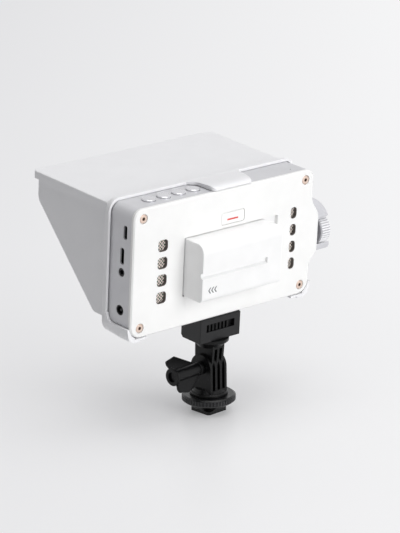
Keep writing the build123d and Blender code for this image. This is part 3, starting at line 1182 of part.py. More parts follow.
def shoe_lock_wheel():
    """The knurled wheel that clamps the shoe's rails against the foot."""
    disc = rod_z(WHEEL_DIAMETER - 2 * WHEEL_GROOVE_DEPTH, WHEEL_BOTTOM, WHEEL_TOP, 0, 0)
    disc = chamfer(disc.edges(), WHEEL_ROUND)
    knurl = ribbed_outline(WHEEL_DIAMETER / 2, WHEEL_GROOVE_DEPTH, WHEEL_GROOVES)
    edge = WHEEL_ROUND + RIB_SETBACK
    wheel = disc + Pos(0, 0, WHEEL_BOTTOM + edge) * extrude(knurl, WHEEL_TOP - WHEEL_BOTTOM - 2 * edge)
    return wheel - rod_z(STUD_DIAMETER + 2 * RUNNING_FIT, WHEEL_BOTTOM - 1, WHEEL_TOP + 1, 0, 0)


# ---- placing and writing ----
def place_head(shape):
    """Puts a piece of the head on the tilt hinge, leaning back and turned on its swivel."""
    lean = Pos(0, 0, HINGE_HEIGHT) * Rot(-HEAD_TILT, 0, 0)
    turn = Rot(0, 0, -HEAD_TURN) * Pos(0, -HINGE_DEPTH, HINGE_DROP)
    return lean * turn * shape


def place_fork(shape):
    """Puts a piece of the tilt arm on the hinge: it leans with the head but isn't turned."""
    lean = Pos(0, 0, HINGE_HEIGHT) * Rot(-HEAD_TILT, 0, 0)
    return lean * Pos(0, -HINGE_DEPTH, HINGE_DROP) * shape


def write(name, shape):
    export_step(shape, f"parts/{name}.step")


MOUNT_PIECES = {
    "shoe_foot": shoe_foot,
    "shoe_lock_wheel": shoe_lock_wheel,
    "lower_fork": lower_fork,
    "hinge_nut": hinge_nut,
    "hinge_bolt": hinge_bolt,
    "wing_knob": wing_knob,
}

ARM_PIECES = {
    "upper_fork": upper_fork,
    "swivel_screw": swivel_screw,
}

HEAD_PIECES = {
    "head_block": head_block,
    "release_slider": release_slider,
    "head_pad": head_pad,
    "head_stud": head_stud,
    "mid_frame": mid_frame,
    "back_cover": back_cover,
    "cover_screws": cover_screws,
    "front_glass": front_glass,
    "lcd_panel": lcd_panel,
    "heat_spreader": heat_spreader,
    "main_board": main_board,
    "usb_socket": usb_socket,
    "hdmi_socket": hdmi_socket,
    "audio_jack": audio_jack,
    "dc_jack": dc_jack,
    "tripod_insert": tripod_insert,
    "button_board": button_board,
    "dial_wheel": dial_wheel,
    "dial_shaft": dial_shaft,
    "encoder_body": encoder_body,
    "battery_case": battery_case,
    "battery_plate": battery_plate,
    "battery_contacts": battery_contacts,
    "battery_release": battery_release,
    "release_spring": release_spring,
    "hood_frame": hood_frame,
    "hood_top_panel": hood_top_panel,
    "hood_top_pins": hood_top_pins,
}


def build():
    for name, make in MOUNT_PIECES.items():
        write(name, make())
    for name, make in ARM_PIECES.items():
        write(name, place_fork(make()))
    for name, make in HEAD_PIECES.items():
        write(name, place_head(make()))
    write("vent_mesh_left", place_head(vent_mesh(VENT_LEFT_X, VENT_LEFT_WIDTH)))
    write("vent_mesh_right", place_head(vent_mesh(VENT_RIGHT_X, VENT_RIGHT_WIDTH)))
    for number, x in enumerate(menu_button_places(), start=1):
        write(f"menu_button_{number}", place_head(menu_button(x)))
    flap, pin = hood_flap(), hood_side_pin()
    write("hood_left_flap", place_head(flap))
    write("hood_right_flap", place_head(mirror(flap, about=Plane.YZ)))
    write("hood_left_pin", place_head(pin))
    write("hood_right_pin", place_head(mirror(pin, about=Plane.YZ)))


build()
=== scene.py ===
"""A camera field monitor with a sun hood, on a tilting mount with a shoe foot.

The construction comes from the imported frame. This script gives its pieces their finishes,
weaves the wire cloth behind the vents, adds the linings and the printed marks, and sets the
studio and the camera. Lengths are in metres: a value in millimetres is written with MM.
"""
import json
import math

import bmesh
import bpy
from mathutils import Matrix, Vector


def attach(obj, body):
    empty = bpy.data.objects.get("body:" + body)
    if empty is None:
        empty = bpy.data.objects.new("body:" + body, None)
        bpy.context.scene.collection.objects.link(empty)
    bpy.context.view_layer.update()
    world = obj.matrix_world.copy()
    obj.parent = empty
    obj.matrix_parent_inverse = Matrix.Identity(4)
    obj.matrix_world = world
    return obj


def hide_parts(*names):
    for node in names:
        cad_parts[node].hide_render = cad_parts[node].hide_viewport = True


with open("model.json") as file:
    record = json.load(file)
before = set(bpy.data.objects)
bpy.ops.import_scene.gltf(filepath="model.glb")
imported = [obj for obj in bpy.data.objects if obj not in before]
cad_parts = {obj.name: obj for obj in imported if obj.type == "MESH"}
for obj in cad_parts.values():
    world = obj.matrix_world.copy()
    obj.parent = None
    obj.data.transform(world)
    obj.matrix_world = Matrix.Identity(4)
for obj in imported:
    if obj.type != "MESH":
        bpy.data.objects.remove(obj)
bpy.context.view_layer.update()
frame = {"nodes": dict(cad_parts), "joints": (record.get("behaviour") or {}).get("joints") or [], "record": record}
nodes = frame["nodes"]
joints = {joint["name"]: joint for joint in frame["joints"]}

MM = 0.001
QUARTER_TURN = math.pi / 2
HALF_TURN = math.pi


# ---- the head's own axes -----------------------------------------------------------------
# The head leans back and is turned on its swivel, so what lies on it is placed along its own
# axes: X towards the sockets, Y out of the rear cover, Z up.

def head_turn():
    """The turn from the head's axes to the frame's, from the joints that slide along them."""
    across = -Vector(joints["battery_slide"]["axis"])
    rearward = -Vector(joints["hood_slide"]["axis"])
    upward = across.cross(rearward)
    return Matrix((across, rearward, upward)).transposed().to_4x4()


HEAD_TURN = head_turn()


def head_extent(name):
    """The lowest and highest corner of a node, along the head's axes."""
    to_head = HEAD_TURN.transposed()
    points = [to_head @ vertex.co for vertex in nodes[name].data.vertices]
    low = Vector(min(point[axis] for point in points) for axis in range(3))
    high = Vector(max(point[axis] for point in points) for axis in range(3))
    return low, high


def head_frame():
    """The head's axes from the middle of the display, on the cover's rear face."""
    low, high = head_extent("lcd_panel")
    origin = (low + high) / 2
    origin.y = head_extent("back_cover")[1].y
    return HEAD_TURN @ Matrix.Translation(origin)


HEAD = head_frame()


def behind_cover(name):
    """How far a node's rear face stands out of the cover's."""
    return head_extent(name)[1].y - head_extent("back_cover")[1].y


def face_place(across, up, behind):
    """Puts a mark drawn in X and Y on the head's rear side, its Z out of the face.

    Across is towards the sockets, which are on the left as the mark is read, so the mark's
    own X runs the other way, to the right.
    """
    return (HEAD @ Matrix.Translation((across, behind, up))
            @ Matrix.Rotation(QUARTER_TURN, 4, "X") @ Matrix.Rotation(HALF_TURN, 4, "Y"))


# ---- small tools -------------------------------------------------------------------------

def srgb(code):
    """A hex colour as linear red, green, blue and alpha."""
    shares = [int(code[place:place + 2], 16) / 255 for place in (0, 2, 4)]
    linear = [share / 12.92 if share <= 0.04045 else ((share + 0.055) / 1.055) ** 2.4
              for share in shares]
    return (*linear, 1.0)


def add(tree, kind, sockets=None, **settings):
    """Adds a node to a tree, with its settings, and with values or links on its sockets."""
    node = tree.nodes.new(kind)
    for name, value in settings.items():
        setattr(node, name, value)
    for name, value in (sockets or {}).items():
        if isinstance(value, bpy.types.NodeSocket):
            tree.links.new(value, node.inputs[name])
        else:
            node.inputs[name].default_value = value
    return node


def finish_of(name, **sockets):
    """A new material with its shader's constants set. Returns it, its tree and its shader."""
    material = bpy.data.materials.new(name)
    material.use_nodes = True
    tree = material.node_tree
    shader = tree.nodes["Principled BSDF"]
    for socket, value in sockets.items():
        shader.inputs[socket.replace("_", " ")].default_value = value
    return material, tree, shader


# ---- patterns ----------------------------------------------------------------------------

CLOUD = 14 * MM           # slow drift of tone over a panel
CLOUD_DETAIL = 2.0
GRAIN = 0.9 * MM          # moulding and blasting grain, drawn coarser than the real 0.1 to show
FLAKE = 0.63 * MM         # flakes in a lacquer, drawn coarser than the real 0.03 to show
TOOL_MARK = 0.4 * MM      # rolling and turning marks, drawn coarser than the real 0.05 to show
NOISE_LOW = 0.3           # a noise keeps nearly all its values between these two
NOISE_HIGH = 0.7


def drift(tree, shader, dark, light):
    """Lets the colour drift slowly between two near shades, as it does over a moulding."""
    place = add(tree, "ShaderNodeTexCoord")
    cloud = add(tree, "ShaderNodeTexNoise", {"Vector": place.outputs["Object"],
                                             "Scale": 1 / CLOUD, "Detail": CLOUD_DETAIL})
    share = add(tree, "ShaderNodeMapRange", {"Value": cloud.outputs["Fac"],
                                             "From Min": NOISE_LOW, "From Max": NOISE_HIGH})
    shade = add(tree, "ShaderNodeMix", {"Factor": share.outputs["Result"], "A": srgb(dark),
                                        "B": srgb(light)}, data_type="RGBA")
    tree.links.new(shade.outputs["Result"], shader.inputs["Base Color"])


def grained(tree, shader, size, detail, smooth, rough, relief=None):
    """Covers a surface with grain of a size, which runs from smooth to rough.

    With a relief it also stands out of the surface by that much.
    """
    place = add(tree, "ShaderNodeTexCoord")
    grain = add(tree, "ShaderNodeTexNoise", {"Vector": place.outputs["Object"],
                                             "Scale": 1 / size, "Detail": detail})
    gloss = add(tree, "ShaderNodeMapRange", {"Value": grain.outputs["Fac"],
                                             "From Min": NOISE_LOW, "From Max": NOISE_HIGH,
                                             "To Min": smooth, "To Max": rough})
    tree.links.new(gloss.outputs["Result"], shader.inputs["Roughness"])
    if relief:
        bump = add(tree, "ShaderNodeBump", {"Height": grain.outputs["Fac"],
                                            "Distance": relief, "Strength": 1.0})
        tree.links.new(bump.outputs["Normal"], shader.inputs["Normal"])


# ---- materials ---------------------------------------------------------------------------

PLASTIC_IOR = 1.5
INK_IOR = 1.45
GLASS_IOR = 1.52


def pigmented(name, dark, light, roughness, relief, specular=0.5):
    """Moulded plastic, paint, rubber, dyed anodising or solder mask.

    The colour lies under the surface, so the gloss over it is white, soft and broad, and the
    fine grain of the mould, the spray or the blasting breaks it up.
    """
    material, tree, shader = finish_of(name, IOR=PLASTIC_IOR, Specular_IOR_Level=specular)
    drift(tree, shader, dark, light)
    grained(tree, shader, size=GRAIN, detail=3.0, smooth=roughness - 0.06,
            rough=roughness + 0.06, relief=relief)
    return material


def metallic_lacquer(name, dark, light, roughness, metallic=0.25):
    """Silver lacquer over a moulding: pale and even, with flakes that give it a silky gloss."""
    material, tree, shader = finish_of(name, Metallic=metallic)
    drift(tree, shader, dark, light)
    grained(tree, shader, size=FLAKE, detail=4.0, smooth=roughness - 0.05,
            rough=roughness + 0.05, relief=0.012 * MM)
    return material


def plain_metal(name, colour, roughness):
    """Plated, rolled or turned metal: a sharp highlight broken by fine tool marks."""
    material, tree, shader = finish_of(name, Metallic=1.0, Base_Color=srgb(colour))
    grained(tree, shader, size=TOOL_MARK, detail=3.0, smooth=roughness - 0.05,
            rough=roughness + 0.08, relief=0.006 * MM)
    return material


def wire_metal(name, colour, roughness):
    """Drawn steel wire, dull from pickling: a warm grey that takes light from all round."""
    material, tree, shader = finish_of(name, Metallic=0.35, Base_Color=srgb(colour))
    grained(tree, shader, size=GRAIN, detail=2.0, smooth=roughness - 0.08,
            rough=roughness + 0.08)
    return material


def printed_ink(name, colour):
    """Pad-printed ink: a thin flat film, a little duller than the plastic under it."""
    material, tree, shader = finish_of(name, IOR=INK_IOR, Base_Color=srgb(colour))
    grained(tree, shader, size=GRAIN, detail=2.0, smooth=0.45, rough=0.6)
    return material


GLASS_WAVE = 30 * MM      # how wide the slow waves in a float glass are
GLASS_WAVE_HEIGHT = 0.01 * MM


def glass_front(name):
    """Black-backed cover glass: a deep even black under a clear mirror-flat face."""
    material, tree, shader = finish_of(name, IOR=GLASS_IOR, Base_Color=srgb("08090B"),
                                       Roughness=0.06, Coat_Weight=0.6, Coat_Roughness=0.03)
    place = add(tree, "ShaderNodeTexCoord")
    wave = add(tree, "ShaderNodeTexNoise", {"Vector": place.outputs["Object"],
                                            "Scale": 1 / GLASS_WAVE, "Detail": 2.0})
    bump = add(tree, "ShaderNodeBump", {"Height": wave.outputs["Fac"],
                                        "Distance": GLASS_WAVE_HEIGHT, "Strength": 1.0})
    tree.links.new(bump.outputs["Normal"], shader.inputs["Normal"])
    return material


HOUSING_EDGE = -80.2 * MM     # the body's side, past which the dial's housing stands out
HOUSING_BLEND = 0.8 * MM
# a painted shade, darker than the lacquer, for the weak light on the dial's side
HOUSING_PAINTED_SHADE = "CECED2"


def paint_housing_shade(material):
    """Paints shade into a lacquer on the dial's cowl and lip: it is coloured darker there, standing in for the
    weaker light on that side of the body.
    """
    tree = material.node_tree
    shader = tree.nodes["Principled BSDF"]
    plain = shader.inputs["Base Color"].links[0].from_socket
    place = add(tree, "ShaderNodeTexCoord")
    arm = add(tree, "ShaderNodeVectorMath", {0: place.outputs["Object"],
                                             1: HEAD @ Vector((HOUSING_EDGE, 0, 0))},
              operation="SUBTRACT")
    out = add(tree, "ShaderNodeVectorMath", {0: arm.outputs["Vector"],
                                             1: -HEAD.to_3x3().col[0]}, operation="DOT_PRODUCT")
    share = add(tree, "ShaderNodeMapRange", {"Value": out.outputs["Value"],
                                             "From Min": -HOUSING_BLEND,
                                             "From Max": HOUSING_BLEND})
    shade = add(tree, "ShaderNodeMix", {"Factor": share.outputs["Result"], "A": plain,
                                        "B": srgb(HOUSING_PAINTED_SHADE)}, data_type="RGBA")
    tree.links.new(shade.outputs["Result"], shader.inputs["Base Color"])
    return material


CREST_SHARE = 0.25            # the share of a rib's depth that has the crest's full painted highlight


def paint_rib_shade_and_highlight(material, node, joint, depth, groove, crest):
    """Paints shade into a wheel's grooves and a highlight onto its crests, by the distance from its axis."""
    tree = material.node_tree
    shader = tree.nodes["Principled BSDF"]
    axis = Vector(joints[joint]["axis"]).normalized()
    middle = Vector(joints[joint]["pos_m"])
    reach = max((vertex.co - middle).cross(axis).length for vertex in nodes[node].data.vertices)
    place = add(tree, "ShaderNodeTexCoord")
    arm = add(tree, "ShaderNodeVectorMath", {0: place.outputs["Object"], 1: middle},
              operation="SUBTRACT")
    across = add(tree, "ShaderNodeVectorMath", {0: arm.outputs["Vector"], 1: axis},
                 operation="CROSS_PRODUCT")
    distance = add(tree, "ShaderNodeVectorMath", {0: across.outputs["Vector"]},
                   operation="LENGTH")
    # Painted shade towards the floor of each groove, painted highlight out at the crests.
    share = add(tree, "ShaderNodeMapRange", {"Value": distance.outputs["Value"],
                                             "From Min": reach - depth,
                                             "From Max": reach - depth * CREST_SHARE})
    shade = add(tree, "ShaderNodeMix", {"Factor": share.outputs["Result"], "A": srgb(groove),
                                        "B": srgb(crest)}, data_type="RGBA")
    tree.links.new(shade.outputs["Result"], shader.inputs["Base Color"])
    return material


# ---- finishes ----------------------------------------------------------------------------

FINISHES = {
    # paint over ABS: a clean flat white with a soft sheen
    "cover_white": pigmented("white_painted_abs", "F3F3F2", "F6F6F5", 0.42, 0.010 * MM),
    # silver lacquer: a cool light grey that brightens where it faces the lamps, with a painted shade on the dial's
    # cowl and lip
    "frame_silver": paint_housing_shade(
        metallic_lacquer("silver_lacquer", "CDCDD0", "D2D2D5", 0.44)),
    # satin plating on a dial with ribs: a painted highlight on the crests over painted shade in the grooves
    "dial_silver": paint_rib_shade_and_highlight(metallic_lacquer("ribbed_satin_dial", "E2E3E6", "E8E9EC", 0.34),
                          "dial_wheel", "dial_turn", 0.4 * MM, "C0C0C4", "F4F4F6"),
    # unpainted ABS with a fine texture: a pale grey, duller than the cover
    "hood_grey": pigmented("pale_grey_abs", "EFEFF1", "F1F1F3", 0.50, 0.014 * MM, 0.4),
    # unpainted ABS off a polished tool: white, glossier than the cover
    "battery_white": pigmented("white_abs", "F2F2F2", "F6F6F6", 0.38, 0.010 * MM),
    # glass-filled nylon: near black, with a weak gloss from its fibres
    "mount_black": pigmented("black_glass_filled_nylon", "0B0B0C", "101011", 0.32,
                             0.012 * MM, 0.2),
    # black anodising: near black and fine, with a satin edge
    "mount_black_metal": pigmented("black_anodised_aluminium", "0C0C0D", "111112", 0.32,
                                   0.006 * MM, 0.3),
    # zinc plate: a mid grey metal with a clear highlight
    "steel": plain_metal("zinc_plated_steel", "A8A8AA", 0.32),
    # rolled sheet: a pale metal with a broad soft highlight
    "spreader_aluminium": plain_metal("rolled_aluminium", "BDBEC0", 0.42),
    # black oxide: a dark metal with a soft highlight
    "nut_black": plain_metal("black_oxide_steel", "242426", 0.40),
    # rose gold plate: a pale warm metal
    "screw_rose": plain_metal("rose_gold_plate", "E6D0C2", 0.36),
    # drawn steel wire: dull, warm and pale against the dark behind it
    "vent_mesh": wire_metal("woven_steel_wire", "F0E6DE", 0.45),
    # toughened glass printed black behind: deep black with sharp reflections
    "screen_glass": glass_front("cover_glass"),
    # polarising film: a smooth blue-black
    "lcd": pigmented("polariser_film", "101114", "131418", 0.25, 0.002 * MM),
    # solder mask over copper: a wavy semi-gloss green
    "board_green": pigmented("solder_mask", "1E5A3A", "24633F", 0.35, 0.02 * MM),
    # steel socket shell, coloured dark grey as a painted shade for the shade in the socket's mouth
    "socket_steel": plain_metal("socket_shell_painted_shade", "3A3A3D", 0.36),
    # liquid-crystal polymer: a flat black moulding
    "socket_black": pigmented("black_lcp", "141416", "18181A", 0.45, 0.01 * MM),
    # gold flash over brass: a yellow metal with a bright highlight
    "contact_brass": plain_metal("gold_flash_contacts", "C9A24B", 0.25),
    # silicone rubber: black and quite matt
    "pad_rubber": pigmented("black_silicone_pad", "1A1A1B", "1F1F20", 0.75, 0.03 * MM),
}

# The knurled wheel gets a painted highlight on its crests and near-black painted shade in its grooves.
WHEEL_RIB_SHADE_AND_HIGHLIGHT = paint_rib_shade_and_highlight(
    pigmented("knurled_anodised_wheel", "0C0C0D", "111112", 0.32, 0.006 * MM, 0.4),
    "shoe_lock_wheel", "lock_wheel_turn", 0.5 * MM, "050506", "2A2A2C")
# The menu buttons are polished by fingers: sharper and more metallic than the frame.
BUTTON_SILVER = metallic_lacquer("polished_button", "D4D4D7", "DADADD", 0.22, 0.7)
# The block under the head is plain ABS: a warmer black with more gloss than the nylon.
BLOCK_BLACK = pigmented("black_abs_block", "0E0E10", "141416", 0.36, 0.014 * MM, 0.36)
OWN_FINISHES = {
    "shoe_lock_wheel": WHEEL_RIB_SHADE_AND_HIGHLIGHT,
    "head_block": BLOCK_BLACK,
    "menu_button_1": BUTTON_SILVER,
    "menu_button_2": BUTTON_SILVER,
    "menu_button_3": BUTTON_SILVER,
    "menu_button_4": BUTTON_SILVER,
}
# Painted shade in the hexagonal sockets of the cover screws: a dark warm brown.
SOCKET_PAINTED_SHADE = plain_metal("rose_plate_painted_shade", "5E4C42", 0.4)
# Painted shade on the walls of a vent's well: a matt grey-brown.
VENT_WELL_PAINTED_SHADE = pigmented("vent_well_painted_shade", "67615D", "6E6864", 0.7, 0.01 * MM)
MARK_RED = printed_ink("red_inlay", "D8483C")
MARK_GREY = printed_ink("grey_print", "77777B")


def finish_nodes():
    """Gives each piece of the frame its own finish, or else the finish of its slot."""
    for part in frame["record"]["subparts"]:
        slots = nodes[part["node"]].data.materials
        slots.clear()
        slots.append(OWN_FINISHES.get(part["node"], FINISHES[part["material_slot"]]))


# ---- shaping -----------------------------------------------------------------------------

def corners_of(geometry):
    """The vertices among what an operator made."""
    return [item for item in geometry if isinstance(item, bmesh.types.BMVert)]


def all_of(shape):
    """Every vertex, edge and face of a shape."""
    return list(shape.verts) + list(shape.edges) + list(shape.faces)


def extruded(shape, faces, rise):
    """Extrudes faces along Z. Returns what was made."""
    made = bmesh.ops.extrude_face_region(shape, geom=faces)["geom"]
    bmesh.ops.translate(shape, verts=corners_of(made), vec=(0, 0, rise))
    return made


def copied(shape, geometry, offset):
    """Copies some geometry and moves the copy. Returns its vertices."""
    corners = corners_of(bmesh.ops.duplicate(shape, geom=geometry)["geom"])
    bmesh.ops.translate(shape, verts=corners, vec=offset)
    return corners


def rectangle(shape, width, height, rows=1):
    """A flat rectangle about the origin, of one face or so many rows. Returns its vertices."""
    made = bmesh.ops.create_grid(shape, x_segments=1, y_segments=rows, size=0.5)["verts"]
    bmesh.ops.scale(shape, vec=(width, height, 1), verts=made)
    return made


def settle(shape, name, place, material, body):
    """Turns a shape into a piece: in its place, with its finish, and carried by its body."""
    bmesh.ops.transform(shape, matrix=place, verts=shape.verts)
    mesh = bpy.data.meshes.new(name)
    shape.to_mesh(mesh)
    shape.free()
    mesh.materials.append(material)
    piece = bpy.data.objects.new(name, mesh)
    bpy.context.scene.collection.objects.link(piece)
    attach(piece, body)
    return piece


# ---- wire cloth behind the vents ---------------------------------------------------------

WIRE_PITCH = 1.75 * MM    # drawn coarser than the real 0.8, so that the weave shows
WIRE_RADIUS = 0.27 * MM
WIRE_SIDES = 4
WIRE_CRIMP = 0.12 * MM    # how far a wire rises and dips where it crosses the others
CLOTH_SPARE = 4           # crossings woven past the strip's corners, which are cut away


def crimped_wire(crossings):
    """One wire along X that passes over and under by turns, a pitch apart."""
    shape = bmesh.new()
    start = (Matrix.Translation((-crossings / 2 * WIRE_PITCH, 0, 0))
             @ Matrix.Rotation(QUARTER_TURN, 4, "Y"))
    bmesh.ops.create_circle(shape, segments=WIRE_SIDES, radius=WIRE_RADIUS, matrix=start)
    edges = list(shape.edges)
    rise = WIRE_CRIMP
    for step in range(2 * crossings):
        made = bmesh.ops.extrude_edge_only(shape, edges=edges)["geom"]
        edges = [item for item in made if isinstance(item, bmesh.types.BMEdge)]
        bmesh.ops.translate(shape, verts=corners_of(made), vec=(WIRE_PITCH / 2, 0, rise))
        if step % 2 == 0:
            rise = -rise
    return shape


def woven(crossings):
    """A square of plain-woven wire cloth about the origin, its wires at 45 degrees."""
    shape = crimped_wire(crossings)
    wire = all_of(shape)
    # Every other wire lies a pitch further on, so it dips where its neighbours rise.
    for row in range(1, crossings // 2 + 1):
        for side in (1, -1):
            copied(shape, wire, (row % 2 * WIRE_PITCH, side * row * WIRE_PITCH, 0))
    across = copied(shape, all_of(shape), (0, 0, 0))
    bmesh.ops.rotate(shape, verts=across, cent=(0, 0, 0),
                     matrix=Matrix.Rotation(QUARTER_TURN, 3, "Z"))
    bmesh.ops.translate(shape, verts=across, vec=(0, WIRE_PITCH, 0))
    bmesh.ops.rotate(shape, verts=shape.verts, cent=(0, 0, 0),
                     matrix=Matrix.Rotation(QUARTER_TURN / 2, 3, "Z"))
    return shape


def wire_cloth(node):
    """Woven wire cloth cut and pressed to the strip behind a column of vents.

    It stands for that strip.
    """
    low, high = head_extent(node)
    middle = (low + high) / 2
    half = (high - low) / 2
    shape = woven(2 * math.ceil(math.hypot(half.x, half.z) / WIRE_PITCH) + CLOTH_SPARE)
    for edge in (Vector((half.x, 0, 0)), Vector((0, half.z, 0))):
        for side in (1, -1):
            bmesh.ops.bisect_plane(shape, geom=all_of(shape), plane_co=edge * side,
                                   plane_no=edge * side, clear_outer=True)
            # Each cut's ends are closed before the next, so that a corner closes flat.
            bmesh.ops.holes_fill(shape, edges=shape.edges, sides=2 * WIRE_SIDES)
    pressed = half.y / (WIRE_RADIUS + WIRE_CRIMP)
    bmesh.ops.scale(shape, vec=(1, 1, pressed), verts=shape.verts)
    bmesh.ops.recalc_face_normals(shape, faces=shape.faces)
    place = HEAD_TURN @ Matrix.Translation(middle) @ Matrix.Rotation(QUARTER_TURN, 4, "X")
    cloth = settle(shape, node + "_cloth", place, FINISHES["vent_mesh"], "head")
    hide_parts(node)


# ---- linings of the vents ----------------------------------------------------------------

VENT_COLUMNS = {              # how far each column lies towards the sockets, and its width
    "vent_mesh_left": (54.6 * MM, 8.6 * MM),
    "vent_mesh_right": (-62.5 * MM, 5.8 * MM),
}
VENT_PITCH = 12.05 * MM
VENT_COUNT = 4
VENT_MIDDLE = -2.0 * MM
VENT_HEIGHT = 8.4 * MM
VENT_CORNER = 1.5 * MM
VENT_CORNER_STEPS = 6
LINER_GAP = 0.04 * MM         # between a lip and the edge of its vent
LINER_WALL = 0.12 * MM
LINER_CORNER = 2.5 * MM
LINER_SETBACK = 0.03 * MM


def rounded_opening(shape, width, height, corner, up):
    """The edge loop of a rectangle with round corners, its middle at a height on Y."""
    before = set(shape.faces)
    corners = rectangle(shape, width, height)
    bmesh.ops.translate(shape, verts=corners, vec=(0, up, 0))
    bmesh.ops.bevel(shape, geom=corners, offset=corner, offset_type="OFFSET",
                    segments=VENT_CORNER_STEPS, profile=0.5, affect="VERTICES", material=-1)
    panel = next(face for face in shape.faces if face not in before)
    edges = list(panel.edges)
    bmesh.ops.delete(shape, geom=[panel], context="FACES_ONLY")
    return edges


def vent_liners(node):
    """The lips that line a column of vents: white on the cover's side, and grey-brown painted shade on their walls
    in the wells.
    """
    across, width = VENT_COLUMNS[node]
    width = width - 2 * LINER_GAP
    height = VENT_HEIGHT - 2 * LINER_GAP
    shape = bmesh.new()
    for step in range(VENT_COUNT):
        up = (step - (VENT_COUNT - 1) / 2) * VENT_PITCH
        outer = rounded_opening(shape, width, height, VENT_CORNER, up)
        inner = rounded_opening(shape, width - 2 * LINER_WALL, height - 2 * LINER_WALL,
                                LINER_CORNER, up)
        bmesh.ops.bridge_loops(shape, edges=outer + inner)
    cloth_face = behind_cover(node)
    # The walls run from the cloth out to just short of the cover's face.
    extruded(shape, list(shape.faces), -cloth_face - LINER_SETBACK)
    bmesh.ops.recalc_face_normals(shape, faces=shape.faces)
    # Faces out of the cover take the cover's white; the walls in the wells take the painted shade.
    for face in shape.faces:
        faces_out = face.normal.z > 0.5
        face.material_index = 1 if faces_out else 0
    liners = settle(shape, node + "_liners", face_place(across, VENT_MIDDLE, cloth_face),
                    VENT_WELL_PAINTED_SHADE, "head")
    liners.data.materials.append(FINISHES["cover_white"])


# ---- marks -------------------------------------------------------------------------------

MARK_HEIGHT = 0.12 * MM       # how thick a mark is: half of it stands out of its surface

SCREW_PLACES = [(across * 72.2 * MM, up * 37.7 * MM) for across in (1, -1) for up in (1, -1)]
SOCKET_SIDES = 6
SOCKET_TURN = math.pi / SOCKET_SIDES
SOCKET_RADIUS = 1.24 * MM
SOCKET_LINING = 0.16 * MM
SOCKET_FLOOR = -0.84 * MM     # where the socket's floor lies, from the cover's rear face
SOCKET_DEPTH = 0.70 * MM


def screw_sockets():
    """Painted shade in the hexagonal sockets of the cover screws, as thin dark hexagonal cups."""
    shape = bmesh.new()
    for across, up in SCREW_PLACES:
        place = Matrix.Translation((-across, up, 0)) @ Matrix.Rotation(SOCKET_TURN, 4, "Z")
        made = bmesh.ops.create_circle(shape, cap_ends=True, segments=SOCKET_SIDES,
                                       radius=SOCKET_RADIUS, matrix=place)
        raised = extruded(shape, [made["verts"][0].link_faces[0]], MARK_HEIGHT / 2)
        floor = [item for item in raised if isinstance(item, bmesh.types.BMFace)]
        rim = bmesh.ops.inset_individual(shape, faces=floor, thickness=SOCKET_LINING)["faces"]
        extruded(shape, rim, SOCKET_DEPTH - MARK_HEIGHT)
        bmesh.ops.delete(shape, geom=rim, context="FACES_KEEP_BOUNDARY")
    bmesh.ops.recalc_face_normals(shape, faces=shape.faces)
    settle(shape, "screw_sockets", face_place(0, 0, SOCKET_FLOOR), SOCKET_PAINTED_SHADE,
           "head")


def raise_mark(shape):
    """Gives a flat mark its thickness, half of it below the surface."""
    extruded(shape, list(shape.faces), MARK_HEIGHT)
    bmesh.ops.translate(shape, verts=shape.verts, vec=(0, 0, -MARK_HEIGHT / 2))
    bmesh.ops.recalc_face_normals(shape, faces=shape.faces)


RELEASE_MARK = (-6.15 * MM, 23.1 * MM)
RELEASE_MARK_LENGTH = 9.9 * MM
RELEASE_MARK_WIDTH = 1.1 * MM
RELEASE_MARK_ROUND = 0.98 * RELEASE_MARK_WIDTH / 2    # a full half width would close the ends
RELEASE_MARK_STEPS = 5


def release_mark():
    """The red line on the battery's release button: a moulded inlay with round ends."""
    shape = bmesh.new()
    corners = rectangle(shape, RELEASE_MARK_LENGTH, RELEASE_MARK_WIDTH)
    bmesh.ops.bevel(shape, geom=corners, offset=RELEASE_MARK_ROUND, offset_type="OFFSET",
                    segments=RELEASE_MARK_STEPS, profile=0.5, affect="VERTICES", material=-1)
    raise_mark(shape)
    place = face_place(*RELEASE_MARK, behind_cover("battery_release"))
    settle(shape, "release_mark", place, MARK_RED, "battery_latch")


CHEVRON_MIDDLE = (25.4 * MM, -15.0 * MM)
CHEVRON_PITCH = 2.6 * MM
CHEVRON_WIDTH = 0.95 * MM
CHEVRON_HEIGHT = 4.1 * MM
CHEVRON_POINT = 1.5 * MM      # how far the tips stand out to the left


def slide_chevrons():
    """Three printed chevrons that show which way the battery slides on."""
    shape = bmesh.new()
    for step in (-1, 0, 1):
        made = rectangle(shape, CHEVRON_WIDTH, CHEVRON_HEIGHT, rows=2)
        # The middle row of vertices makes the point.
        tips = [vertex for vertex in made if abs(vertex.co.y) < CHEVRON_HEIGHT / 4]
        bmesh.ops.translate(shape, verts=tips, vec=(-CHEVRON_POINT, 0, 0))
        bmesh.ops.translate(shape, verts=made, vec=(step * CHEVRON_PITCH, 0, 0))
    raise_mark(shape)
    place = face_place(*CHEVRON_MIDDLE, behind_cover("battery_case"))
    settle(shape, "slide_chevrons", place, MARK_GREY, "battery")


# ---- floor -------------------------------------------------------------------------------

FLOOR_SIZE = 9.0
FLOOR_SHEET = "F4F4F5"
FLOOR_ROUGHNESS = 0.3
FLOOR_SPECULAR = 0.35
FLOOR_PAINTED_SHADE = "E6E6E8"          # painted shade: the sheet's tone on the camera's left
FLOOR_PAINTED_LIGHT = "FAFAFB"       # and the painted light: its tone on the right
FLOOR_ACROSS = (-0.7097, 0.7045, 0)   # the way to the camera's right
FLOOR_DIM_AT = -0.25          # where along it the painted shade ends
FLOOR_BRIGHT_AT = 0.25        # and where the painted light starts
FLOOR_GLOW = 0.9              # how much of its tone the sheet shows by itself, far off
FLOOR_FAR = 0.4               # from this distance on
FLOOR_FALL = 0.32             # how fast that falls towards the foot, where the shadow lies


